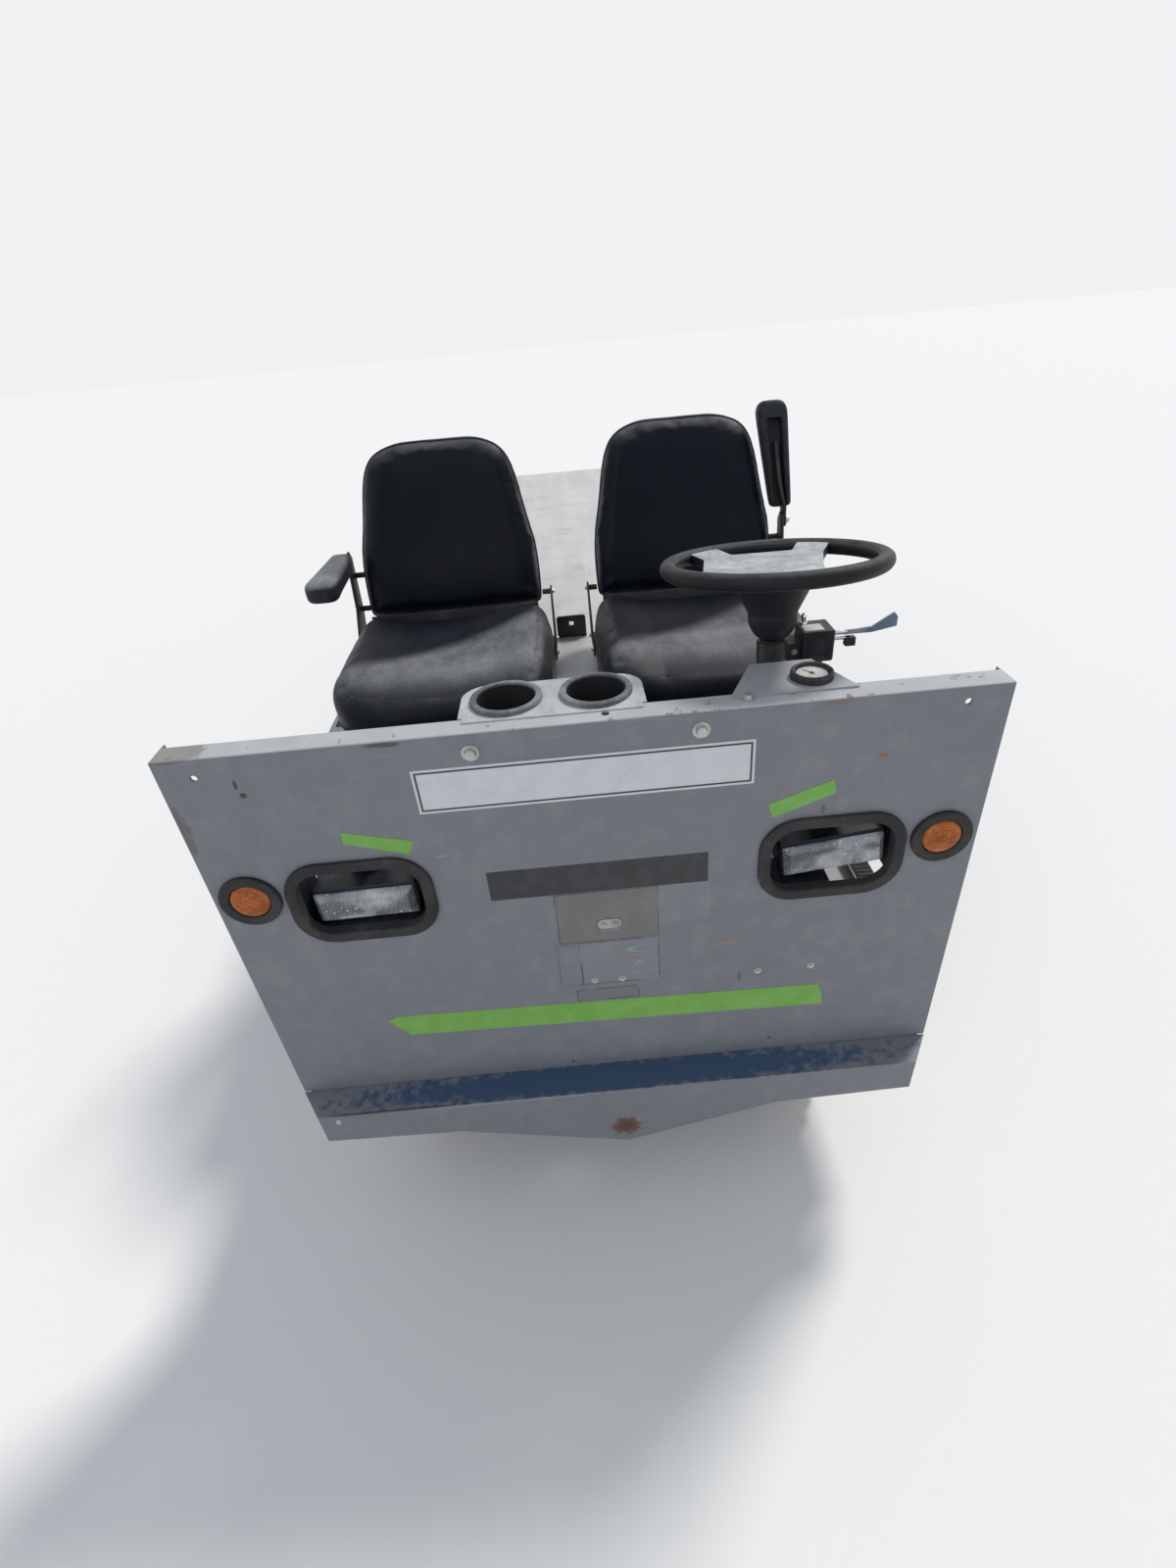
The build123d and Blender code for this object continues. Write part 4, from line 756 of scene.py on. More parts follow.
@dataclass(frozen=True)
class DialFace(Finish):
    """The battery gauge's pale face with plain division marks."""

    centre: Colour = (0.0, 0.0, 0.0)
    radius: float = 0.0235

    def dress(self, shader: Shader) -> bpy.types.Material:
        """Build the face's material."""
        right = shader.along(self.centre, (1.0, 0.0, 0.0))
        back = shader.along(self.centre, (0.0, 1.0, 0.0))
        radial = length(right, back) * (1 / self.radius)
        angle = shader.node("ShaderNodeMath", {"operation": "ARCTAN2"}, {0: right, 1: back})
        wave = shader.node("ShaderNodeMath", {"operation": "COSINE"}, {0: angle * 20.0})
        marks = wave.between(0.90, 0.97) * radial.between(0.72, 0.74)
        marks = marks * radial.between(0.90, 0.88) * abs(angle).between(2.3, 2.25)
        ring = radial.between(0.925, 0.94)
        haze = shader.noise(60.0, 4.0).between(0.35, 0.75)
        colour = shader.mix(haze * 0.5, (0.62, 0.63, 0.60), (0.45, 0.455, 0.44))
        colour = shader.mix((marks + ring).at_most(1.0), colour, (0.02, 0.02, 0.022))
        return shader.surface(
            haze, 0.0001, 0.3, Base_Color=colour, Roughness=0.35 + haze * 0.2,
            Coat_Weight=0.8, Coat_Roughness=0.08,
        )


RUST: Colour = (0.27, 0.105, 0.042)


class Finishes:
    """The vehicle's finishes, by the place they are used."""

    body = GreyPaint("grey_body_paint", wear=0.6)
    box = GreyPaint("grey_box_paint", wear=0.5)
    deck = WornSteel("worn_deck_steel")
    lid = WornSteel("worn_lid_steel", colour=(0.42, 0.43, 0.43))
    frame = Moulded(
        "black_frame_paint", colour=(0.017, 0.017, 0.018), dust=(0.15, 0.13, 0.105), dusty=0.35, rough=0.45,
    )
    spring = Moulded(
        "spring_steel_paint", colour=(0.03, 0.028, 0.026), dust=(0.17, 0.12, 0.08), dusty=0.5, rough=0.6,
    )
    casting = Moulded(
        "cast_housing_paint", colour=(0.045, 0.045, 0.047), dust=(0.16, 0.12, 0.085), dusty=0.5, rough=0.6,
    )
    motor = Moulded(
        "motor_case_paint", colour=(0.02, 0.02, 0.022), dust=(0.16, 0.14, 0.12), dusty=0.4, rough=0.42,
    )
    battery = Moulded("battery_case_plastic", colour=(0.03, 0.03, 0.032), dusty=0.3, rough=0.5)
    rubber = Moulded(
        "black_rubber", colour=(0.022, 0.022, 0.023), dust=(0.14, 0.135, 0.125), dusty=0.3, rough=0.66,
    )
    plastic = Moulded("black_moulded_plastic")
    cup_ring = Moulded(
        "cup_ring_rubber", colour=(0.085, 0.09, 0.095), dust=(0.34, 0.35, 0.355), dusty=0.8, rough=0.6,
    )
    rim = GreyPaint("white_rim_paint", colour=(0.62, 0.62, 0.60), worn=(0.35, 0.33, 0.30), wear=0.5)
    tyre = TyreRubber("cream_tyre_rubber")
    zinc = Metal("zinc_fastener", colour=(0.50, 0.50, 0.49), rough=0.4, rust=0.08)
    steel = Metal("worn_hinge_steel", colour=(0.42, 0.42, 0.42), rough=0.45, rust=0.12)
    chrome = Metal("chrome_reflector", colour=(0.80, 0.81, 0.82), rough=0.1, rust=0.0)
    glass = LampGlass("ribbed_lamp_glass")
    housing = Moulded(
        "lamp_housing_plastic", colour=(0.006, 0.008, 0.013), dust=(0.06, 0.065, 0.075),
        dusty=0.25, rough=0.4,
    )
    amber = Lens("amber_lens")
    red = Lens("red_lens", colour=(0.50, 0.012, 0.01), deep=(0.16, 0.003, 0.003))
    vinyl = Vinyl("seat_vinyl")
    tape = Film("green_tape", ribs=0.4)
    label = Film("white_label", colour=(0.58, 0.58, 0.61), worn=(0.50, 0.50, 0.53), rough=0.35)
    ink = Film("black_label_edge", colour=(0.02, 0.02, 0.022), worn=(0.04, 0.04, 0.04), rough=0.4)
    strip = Film("dark_name_strip", colour=(0.022, 0.022, 0.025), worn=(0.05, 0.05, 0.055), rough=0.5)
    piping = Moulded(
        "seat_piping", colour=(0.003, 0.004, 0.007), dust=(0.16, 0.165, 0.17), dusty=0.2, rough=0.45,
    )
    thread = Moulded(
        "seat_thread", colour=(0.03, 0.032, 0.036), dust=(0.4, 0.4, 0.4), dusty=0.5, rough=0.8,
    )
    dash = GreyPaint("grey_dash_paint", colour=(0.33, 0.345, 0.365), worn=(0.55, 0.56, 0.57), wear=0.8)
    floor = GreyPaint("worn_floor_paint", colour=(0.34, 0.34, 0.33), worn=(0.50, 0.50, 0.49), wear=1.0)
    bright_plate = Film("switch_plate", colour=(0.56, 0.57, 0.58), worn=(0.42, 0.43, 0.44), rough=0.35)


NODE_FINISHES: tuple[tuple[Finish, str], ...] = (
    (Finishes.floor, "floor_plate"),
    (Finishes.body, "side_sills"),
    (Finishes.box, "box_front side_skirts rear_apron"),
    (Finishes.dash, "dash_plate"),
    (Finishes.deck, "cargo_deck"),
    (Finishes.lid, "seat_lid"),
    (Finishes.rubber, "step_treads lamp_bezels pedals"),
    (Finishes.battery, "battery_pack"),
    (Finishes.frame, "frame_rails cross_members deck_bearers bearer_posts tow_hitch latch_bracket"),
    (Finishes.plastic, "column_tube"),
    (Finishes.steel, "lid_hinges"),
    (Finishes.spring, "front_springs rear_springs lower_shaft"),
    (Finishes.casting, "front_axle rear_axle steering_gear pitman_arm tie_rod knuckle_left knuckle_right"),
    (Finishes.motor, "drive_motor"),
    (SwitchParts("direction_switch_parts"), "direction_switch"),
    (Finishes.rim, "rim_front_left rim_front_right rim_rear_left rim_rear_right"),
)


# Mesh building


def add_piece(
    name: str, form: bmesh.types.BMesh, finish: Finish, body: Body, crease: float = 35.0
) -> bpy.types.Object:
    """Turn a form into an object at the origin.

    Args:
        name: The object's name.
        form: Its shape, which is freed.
        finish: Its finish.
        body: The body that it will ride on.
        crease: Edges sharper than this, in degrees, stay sharp.

    Returns:
        The object.
    """
    mesh = bpy.data.meshes.new(name)
    form.to_mesh(mesh)
    form.free()
    mesh.materials.append(finish.make())
    mesh.shade_smooth()
    mesh.set_sharp_from_angle(angle=math.radians(crease))
    made = bpy.data.objects.new(name, mesh)
    bpy.context.scene.collection.objects.link(made)
    made["rides_on"] = body.value
    return made


def settle(piece: bpy.types.Object) -> None:
    """Replace a piece's mesh by the result of its modifiers."""
    bpy.context.view_layer.update()
    evaluated = piece.evaluated_get(bpy.context.evaluated_depsgraph_get())
    mesh = bpy.data.meshes.new_from_object(evaluated)
    piece.modifiers.clear()
    piece.data = mesh


def soften(piece: bpy.types.Object, width: float, segments: int = 2) -> bpy.types.Object:
    """Round a piece's sharp edges by a width."""
    bevel = piece.modifiers.new("edges", "BEVEL")
    bevel.width = width
    bevel.segments = segments
    bevel.limit_method = "ANGLE"
    bevel.angle_limit = math.radians(40)
    settle(piece)
    piece.data.set_sharp_from_angle(angle=math.radians(50))
    return piece


def boxes(
    name: str, corners: Iterable[Corners], finish: Finish, body: Body, width: float, segments: int = 2
) -> bpy.types.Object:
    """A piece made of boxes with rounded edges.

    Args:
        name: The piece's name.
        corners: Two opposite corners of each box, in millimetres.
        finish: Its finish.
        body: The body that carries it.
        width: How wide the rounding is, in metres.
        segments: Steps across the rounding.

    Returns:
        The piece.
    """
    form = bmesh.new()
    for first, second in corners:
        ends = (at(*first), at(*second))
        low, high = (Vector([pick(end[i] for end in ends) for i in range(3)]) for pick in (min, max))
        place = Matrix.Translation((low + high) / 2) @ Matrix.Diagonal((*(high - low), 1.0))
        bmesh.ops.create_cube(form, size=1.0, matrix=place)
    return soften(add_piece(name, form, finish, body), width, segments)


def add_rings(form: bmesh.types.BMesh, rings: Sequence[Sequence[Vector]], closed_ends: bool = True) -> None:
    """Skin closed rings of equal counts into a form.

    Args:
        form: The form to add to.
        rings: The rings, each a list of points.
        closed_ends: Whether the first and last ring are filled.
    """
    rows = [[form.verts.new(point) for point in ring] for ring in rings]
    count = len(rows[0])
    for first, second in zip(rows, rows[1:]):
        for i in range(count):
            j = (i + 1) % count
            form.faces.new((first[i], first[j], second[j], second[i]))
    if closed_ends:
        for row in (rows[0], rows[-1]):
            centre = form.verts.new(sum((v.co for v in row), Vector()) / count)
            for i in range(count):
                form.faces.new((row[i], row[(i + 1) % count], centre))
    bmesh.ops.recalc_face_normals(form, faces=form.faces)


def add_loop(form: bmesh.types.BMesh, rings: Sequence[Sequence[Vector]]) -> None:
    """Skin rings whose last is the first again into a form, and join them there."""
    add_rings(form, rings, closed_ends=False)
    bmesh.ops.remove_doubles(form, verts=form.verts, dist=1e-6)
    bmesh.ops.recalc_face_normals(form, faces=form.faces)


def spun(profile: Iterable[tuple[float, float]], place: Matrix, segments: int) -> list[list[Vector]]:
    """The rings that a profile of (radius, height) sweeps round a place's +Z."""
    turns = [2 * math.pi * i / segments for i in range(segments)]
    return [[place @ Vector((r * math.cos(a), r * math.sin(a), z)) for a in turns] for r, z in profile]


def turned(profile: Sequence[tuple[float, float]], place: Matrix, segments: int = 48) -> bmesh.types.BMesh:
    """A turned form.

    Args:
        profile: Points of (radius, height) from the axis and back to it.
        place: Where its axis, +Z, and its base go.
        segments: Facets round the axis.

    Returns:
        The form, closed at its first and last radius.
    """
    form = bmesh.new()
    add_rings(form, spun(profile, place, segments))
    return form


def rounded(corners: Sequence[tuple[float, float]], count: int, passes: int = 4) -> list[Vector]:
    """A smooth closed outline that follows a few corners, as even steps.

    Args:
        corners: The corners of its guide, anticlockwise.
        count: How many points it gets.
        passes: How often the corners are cut.

    Returns:
        Its points.
    """
    points = [Vector(corner) for corner in corners]
    for _ in range(passes):
        cut = []
        for a, b in zip(points, points[1:] + points[:1]):
            cut += [a.lerp(b, 0.25), a.lerp(b, 0.75)]
        points = cut
    loop = points + points[:1]
    runs = [(b - a).length for a, b in zip(loop, loop[1:])]
    step, even, i, passed = sum(runs) / count, [], 0, 0.0
    for n in range(count):
        while passed + runs[i] < n * step:
            passed += runs[i]
            i += 1
        even.append(loop[i].lerp(loop[i + 1], (n * step - passed) / runs[i]))
    return even


def inset(outline: Sequence[Vector], distance: float) -> list[Vector]:
    """A closed anticlockwise outline moved inwards by a distance."""
    moved = []
    count = len(outline)
    for i, point in enumerate(outline):
        along = (outline[(i + 1) % count] - outline[i - 1]).normalized()
        moved.append(point + Vector((-along.y, along.x)) * distance)
    return moved


def slab(outline: Sequence[tuple[float, float]], place: Matrix, thickness: float) -> bmesh.types.BMesh:
    """A flat plate of an outline, its thickness along its place's +Z."""
    form = bmesh.new()
    rings = [[place @ Vector((x, y, z)) for x, y in outline] for z in (0.0, thickness)]
    rows = [[form.verts.new(point) for point in ring] for ring in rings]
    count = len(outline)
    for i in range(count):
        j = (i + 1) % count
        form.faces.new((rows[0][i], rows[0][j], rows[1][j], rows[1][i]))
    form.faces.new(rows[0])
    form.faces.new(rows[1])
    bmesh.ops.recalc_face_normals(form, faces=form.faces)
    return form


def loft(sections: Sequence[tuple[float, float, float, float]], place: Matrix) -> bmesh.types.BMesh:
    """A closed form skinned over rectangles with round corners.

    Args:
        sections: Each one's width, height, corner radius and distance along +Z.
        place: Where the first section's plane goes.

    Returns:
        The form.
    """
    form = bmesh.new()
    add_rings(form, [
        [place @ Vector((x, y, depth)) for x, y in rounded_rectangle(width, height, corner)]
        for width, height, corner, depth in sections
    ])
    return form


def rounded_rectangle(width: float, height: float, corner: float) -> list[tuple[float, float]]:
    """A rectangle's outline with round corners about the origin, anticlockwise."""
    points, steps = [], 5
    for number, (x, y) in enumerate(((1, 1), (-1, 1), (-1, -1), (1, -1))):
        across, up = x * (width / 2 - corner), y * (height / 2 - corner)
        for step in range(steps + 1):
            turn = math.radians(90 * (number + step / steps))
            points.append((across + corner * math.cos(turn), up + corner * math.sin(turn)))
    return points


def hoop(section: Sequence[tuple[float, float]], place: Matrix, segments: int = 64) -> bmesh.types.BMesh:
    """A turned ring.

    Args:
        section: Its closed section as (radius, height).
        place: Where its axis, +Z, goes.
        segments: Facets round the axis.

    Returns:
        The form.
    """
    form = bmesh.new()
    rings = spun(section, place, segments)
    add_loop(form, rings + rings[:1])
    return form


def tube(path: Sequence[Vector], radius: float, sides: int = 10, closed: bool = False) -> bmesh.types.BMesh:
    """A round tube along a path.

    Args:
        path: The points of its middle line.
        radius: Its radius.
        sides: Facets round it.
        closed: Whether the path is a loop.

    Returns:
        The form.
    """
    form = bmesh.new()
    count = len(path)
    rings, across = [], None
    for i, point in enumerate(path):
        before = path[i - 1] if i or closed else point
        after = path[(i + 1) % count] if i < count - 1 or closed else point
        along = (after - before).normalized()
        if across is None:
            across = along.orthogonal().normalized()
        across = (across - along * across.dot(along)).normalized()
        other = along.cross(across)
        ring = []
        for k in range(sides):
            a = 2 * math.pi * k / sides
            ring.append(point + (across * math.cos(a) + other * math.sin(a)) * radius)
        rings.append(ring)
    if closed:
        add_loop(form, rings + rings[:1])
    else:
        add_rings(form, rings)
    return form


def smooth_step(value: float) -> float:
    """0 below 0, 1 above 1 and a smooth rise between."""
    t = min(1.0, max(0.0, value))
    return t * t * (3 - 2 * t)


def swell(pad: bpy.types.Object, cap: float, voxel: float = 0.006, frames: int = 16) -> None:
    """Blow a pad up as a skin over foam, no point further than a cap.

    Args:
        pad: The pad; its mesh is replaced.
        cap: How far a point may move.
        voxel: The size of the skin's squares.
        frames: How many frames the cloth runs for.
    """
    remesh = pad.modifiers.new("skin", "REMESH")
    remesh.mode = "VOXEL"
    remesh.voxel_size = voxel
    settle(pad)
    rest = [v.co.copy() for v in pad.data.vertices]
    cloth = pad.modifiers.new("foam", "CLOTH")
    cloth.settings.use_pressure = True
    cloth.settings.uniform_pressure_force = 4.0
    cloth.settings.effector_weights.gravity = 0.0
    cloth.settings.quality = 5
    scene = bpy.context.scene
    for frame in range(1, frames + 1):
        scene.frame_set(frame)
    settle(pad)
    scene.frame_set(1)
    for vertex, start in zip(pad.data.vertices, rest):
        moved = vertex.co - start
        if moved.length > cap:
            vertex.co = start + moved.normalized() * cap
    smooth = pad.modifiers.new("rub", "SMOOTH")
    smooth.factor = 0.5
    smooth.iterations = 3
    settle(pad)
    pad.data.shade_smooth()


def rub(pad: bpy.types.Object, amount: Callable[[Vector, Vector], float]) -> None:
    """Keep on each point of a pad how grey its skin is: dust, and on the seats also painted light.

    Args:
        pad: The pad.
        amount: The grey for a point and its normal, from 0 to 1.
    """
    layer = pad.data.attributes.new("dust", "FLOAT", "POINT")
    values = [min(1.0, max(0.0, amount(v.co, v.normal))) for v in pad.data.vertices]
    layer.data.foreach_set("value", values)


# Repeats


class Repeat:
    """A Geometry Nodes tree with named inputs that sets copies of a small shape on a piece's points."""

    def __init__(self, name: str, **inputs: float) -> None:
        """Start a tree.

        Args:
            name: The tree's name.
            inputs: Its named inputs with their values.
        """
        self.tree = bpy.data.node_groups.new(name, "GeometryNodeTree")
        self.tree.interface.new_socket("Geometry", in_out="INPUT", socket_type="NodeSocketGeometry")
        self.tree.interface.new_socket("Geometry", in_out="OUTPUT", socket_type="NodeSocketGeometry")
        self.values = inputs
        self.identifiers = {}
        for label, value in inputs.items():
            kind = "NodeSocketInt" if isinstance(value, int) else "NodeSocketFloat"
            made = self.tree.interface.new_socket(label, in_out="INPUT", socket_type=kind)
            made.default_value = value
            self.identifiers[label] = made.identifier
        self.entry = self.tree.nodes.new("NodeGroupInput")

    def given(self, label: str) -> Socket:
        """The socket of a named input."""
        return self.entry.outputs[label]

    def node(
        self, kind: str, settings: dict | None = None, inputs: dict | None = None, output: int | str = 0
    ) -> Socket:
        """Add a node; an input may be a value, a socket or a list of sockets."""
        made = self.tree.nodes.new(kind)
        for key, value in (settings or {}).items():
            setattr(made, key, value)
        for key, value in (inputs or {}).items():
            for one in value if isinstance(value, list) else [value]:
                if isinstance(one, Socket):
                    self.tree.links.new(one, made.inputs[key])
                else:
                    made.inputs[key].default_value = one
        return made.outputs[output]

    def times(self, first: Socket, second: Socket | float) -> Socket:
        """A product."""
        return self.node("ShaderNodeMath", {"operation": "MULTIPLY"}, {0: first, 1: second})

    def vector(self, **parts: Socket | float) -> Socket:
        """A vector from its parts."""
        return self.node("ShaderNodeCombineXYZ", None, parts)

    def cube(self, **size: Socket | float) -> Socket:
        """A box of a size."""
        return self.node("GeometryNodeMeshCube", None, {"Size": self.vector(**size)})

    def moved(self, shape: Socket, **changes: Socket | Sequence[float]) -> Socket:
        """A shape with a Translation, a Rotation or both."""
        return self.node("GeometryNodeTransform", None, {"Geometry": shape, **changes})

    def joined(self, *shapes: Socket) -> Socket:
        """Shapes as one."""
        return self.node("GeometryNodeJoinGeometry", None, {"Geometry": list(shapes)})

    def copies(self, points: Socket, shape: Socket, turn: Socket | Sequence[float] = (0, 0, 0)) -> Socket:
        """A shape on each point."""
        inputs = {"Points": points, "Instance": shape, "Rotation": turn}
        return self.node("GeometryNodeInstanceOnPoints", None, inputs)

    def aimed(
        self, name: str, shape: Socket, spots: Iterable[Screw], finish: Finish, body: Body
    ) -> bpy.types.Object:
        """Set a shape on spots, its +Z along each one's axis, and run the tree.

        Args:
            name: The new piece's name.
            shape: The shape.
            spots: Where the copies sit.
            finish: Their finish.
            body: The body that carries them.

        Returns:
            The piece.
        """
        axis = self.node("GeometryNodeInputNamedAttribute", {"data_type": "FLOAT_VECTOR"}, {"Name": "axis"})
        turn = self.node("FunctionNodeAlignRotationToVector", {"axis": "Z"}, {"Vector": axis})
        self.close(self.copies(self.given("Geometry"), shape, turn), finish)
        return self.grow(name, aimed_points(name, spots), body)

    def close(self, copies: Socket, finish: Finish) -> None:
        """End the tree: make the copies real and give them their finish."""
        real = self.node("GeometryNodeRealizeInstances", None, {"Geometry": copies})
        dressed = self.node("GeometryNodeSetMaterial", None, {"Geometry": real, "Material": finish.make()})
        leave = self.tree.nodes.new("NodeGroupOutput")
        self.tree.links.new(dressed, leave.inputs["Geometry"])

    def grow(self, name: str, points: bpy.types.Mesh, body: Body) -> bpy.types.Object:
        """Run the tree on a mesh.

        Args:
            name: The new piece's name.
            points: The mesh whose points carry the copies.
            body: The body that the piece will ride on.

        Returns:
            The piece, as a plain mesh.
        """
        made = bpy.data.objects.new(name, points)
        bpy.context.scene.collection.objects.link(made)
        modifier = made.modifiers.new("repeat", "NODES")
        modifier.node_group = self.tree
        for label, value in self.values.items():
            modifier[self.identifiers[label]] = value
        settle(made)
        made.data.shade_smooth()
        made.data.set_sharp_from_angle(angle=math.radians(35))
        made["rides_on"] = body.value
        return made


@dataclass(frozen=True)
class Screw:
    """One fastener: where its head sits and which way it points."""

    place: tuple[float, float, float]
    axis: tuple[float, float, float]


def aimed_points(name: str, screws: Iterable[Screw]) -> bpy.types.Mesh:
    """A mesh of loose points, each with the direction that its copy faces."""
    screws = list(screws)
    mesh = bpy.data.meshes.new(name)
    mesh.from_pydata([screw.place for screw in screws], [], [])
    axes = mesh.attributes.new("axis", "FLOAT_VECTOR", "POINT")
    for i, screw in enumerate(screws):
        axes.data[i].vector = screw.axis
    return mesh


def screws_at(places: Iterable[Sequence[float]], axis: Sequence[float] = (0, 0, 1)) -> list[Screw]:
    """Fasteners at places in millimetres, all pointing one way."""
    return [Screw(tuple(at(*place)), tuple(axis)) for place in places]


def bars(
    name: str, spots: Iterable[Screw], size: tuple[float, float, float], finish: Finish, body: Body
) -> bpy.types.Object:
    """Small straight bars with chamfered tops, such as ribs on a tread.

    Args:
        name: The piece's name.
        spots: Where each sits and which way its top points.
        size: Its length, width and height.
        finish: Their finish.
        body: The body that carries them.

    Returns:
        The piece.
    """
    repeat = Repeat(name + "_tree", Length=size[0], Width=size[1], Height=size[2])
    long, wide = repeat.given("Length"), repeat.given("Width")
    half = repeat.times(repeat.given("Height"), 0.5)
    upper = repeat.cube(X=repeat.times(long, 0.97), Y=repeat.times(wide, 0.6), Z=half)
    raised = repeat.moved(upper, Translation=repeat.vector(Z=half))
    return repeat.aimed(name, repeat.joined(repeat.cube(X=long, Y=wide, Z=half), raised), spots, finish, body)


def fasteners(
    name: str, screws: Iterable[Screw], radius: float, finish: Finish, body: Body, sides: int = 6
) -> bpy.types.Object:
    """Screw or rivet heads on their washers.

    Args:
        name: The piece's name.
        screws: Where they sit.
        radius: A head's radius.
        finish: Their finish.
        body: The body that carries them.
        sides: Six for a hexagon head, more for a round one.

    Returns:
        The piece.
    """
    repeat = Repeat(name + "_tree", Radius=radius, Sides=sides)
    base = repeat.given("Radius")
    thick = repeat.times(base, 0.3)
    rim = {"Vertices": 20, "Radius": repeat.times(base, 1.5), "Depth": thick}
    washer = repeat.node("GeometryNodeMeshCylinder", None, rim)
    cone = {"Vertices": repeat.given("Sides"), "Radius Top": repeat.times(base, 0.82), "Radius Bottom": base}
    head = repeat.node("GeometryNodeMeshCone", None, {**cone, "Depth": repeat.times(base, 0.75)})
    raised = repeat.moved(head, Translation=repeat.vector(Z=repeat.times(thick, 0.4)))
    return repeat.aimed(name, repeat.joined(washer, raised), screws, finish, body)


# Sub-assemblies


@dataclass
class FrontPanel:
    """The front panel's paint, tape, blank label, blank strip, patch and fasteners.

    Places on the panel are x from the middle and z from the ground.
    """

    top: float
    face: float
    film: float = 0.0005
    label: tuple[float, float, float, float] = (-0.247, 0.240, 0.984, 1.058)
    strip: tuple[float, float, float, float] = (-0.170, 0.175, 0.805, 0.863)

    @classmethod
    def measured(cls) -> FrontPanel:
        """The panel as the frame has it."""
        low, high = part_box("front_panel")
        return cls(top=high.z, face=low.y)

    def stuck(
        self, name: str, outline: Sequence[tuple[float, float]], finish: Finish, lift: float = 0.0
    ) -> None:
        """Lay a thin film on the panel's face.

        Args:
            name: Its name.
            outline: Its corners as (x, z).
            finish: Its finish.
            lift: How far it lies off the face.
        """
        place = Matrix.Translation((0, self.face - lift, 0)) @ Matrix.Rotation(math.radians(90), 4, "X")
        add_piece(name, slab(outline, place, self.film), finish, Body.CHASSIS)

    def sheet(self, name: str, sides: Sequence[float], finish: Finish, lift: float = 0.0) -> None:
        """Lay a rectangular film, given by its lowest and highest x and z."""
        x0, x1, z0, z1 = sides
        self.stuck(name, ((x0, z0), (x1, z0), (x1, z1), (x0, z1)), finish, lift)

    def paint(self) -> None:
        """Give the panel its paint, with its stains and bare places."""
        face = self.face
        dark = (0.035, 0.032, 0.032)
        blots = (
            Blot((-0.57, face + 0.02, self.top), (0.050, 0.06, 0.006), (0.10, 0.07, 0.055), 0.55),
            Blot((-0.590, face, 0.99), (0.014, 0.05, 0.05), (0.10, 0.07, 0.055), 0.5),
            Blot((0.205, face, 0.661), (0.040, 0.05, 0.0024), (0.30, 0.19, 0.11), 0.9),
            Blot((0.045, face, 0.648), (0.024, 0.05, 0.0022), (0.25, 0.14, 0.08), 0.8),
            Blot((0.426, face, 1.012), (0.009, 0.05, 0.0035), RUST, 0.9),
            Blot((-0.490, face, 1.062), (0.004, 0.05, 0.010), dark, 0.9),
            Blot((-0.485, face, 1.044), (0.006, 0.05, 0.006), dark, 0.9),
            Blot((-0.275, face, 1.104), (0.030, 0.05, 0.005), dark, 0.7),
            Blot((0.347, face, 0.926), (0.004, 0.05, 0.009), (0.08, 0.06, 0.05), 0.6),
            Blot((0.233, face, 0.580), (0.003, 0.05, 0.018), (0.06, 0.06, 0.065), 0.6),
            Blot((0.350, face, 1.104), (0.030, 0.05, 0.004), (0.22, 0.11, 0.06), 0.5),
        )
        residue, sheen = (0.150, 0.146, 0.138), (0.205, 0.215, 0.235)
        patches = (
            Patch((-0.071, 0.094), (0.695, 0.803), residue, 0.95, 0.7),
            Patch((-0.040, 0.093), (0.592, 0.692), sheen, 0.55, 0.8),
            Patch((-0.053, 0.055), (0.550, 0.578), residue, 0.6, 0.8),
            Patch((0.098, 0.179), (0.725, 0.806), sheen, 0.5, 0.0),
            Patch((-0.005, 0.033), (0.714, 0.748), (0.20, 0.20, 0.20), 0.6, 0.3),
            Patch((-0.078, -0.040), (0.592, 0.690), sheen, 0.1, 0.45),
        )
        peeled = Patch((0.050, 0.093), (0.590, 0.640), (0.30, 0.30, 0.29), 0.7)
        # The pale worn colour also paints the highlight on the sunlit top face of the panel's flange.
        finish = GreyPaint(
            "grey_panel_paint", wear=0.7, blots=blots, patches=patches, peeled=peeled, top_edge=self.top,
            worn=(0.42, 0.435, 0.45),
        )
        dress_node("front_panel", finish)
        step = face - 0.058
        marks = (
            Blot((0.012, step, 0.249), (0.034, 0.06, 0.034), (0.125, 0.062, 0.045), 0.95),
            Blot((0.012, step, 0.249), (0.020, 0.06, 0.020), (0.075, 0.038, 0.030), 0.8),
            Blot((-0.031, step, 0.364), (0.010, 0.02, 0.004), RUST, 0.9),
            Blot((-0.522, step, 0.347), (0.006, 0.05, 0.010), (0.46, 0.46, 0.47), 0.9),
            Blot((-0.195, step, 0.361), (0.240, 0.02, 0.0016), (0.34, 0.35, 0.37), 0.7),
            # Painted shade and sky reflection: a dark blue band over the bumper's top step, which lies in the
            # panel's shadow.
            Blot((0.0, step + 0.03, 0.3675), (0.62, 0.045, 0.0060), (0.038, 0.076, 0.155), 0.95),
            Blot((-0.40, step, 0.3655), (0.150, 0.006, 0.003), (0.030, 0.034, 0.040), 0.7),
        )
        dress_node("front_bumper", GreyPaint("grey_bumper_paint", wear=0.6, blots=marks))

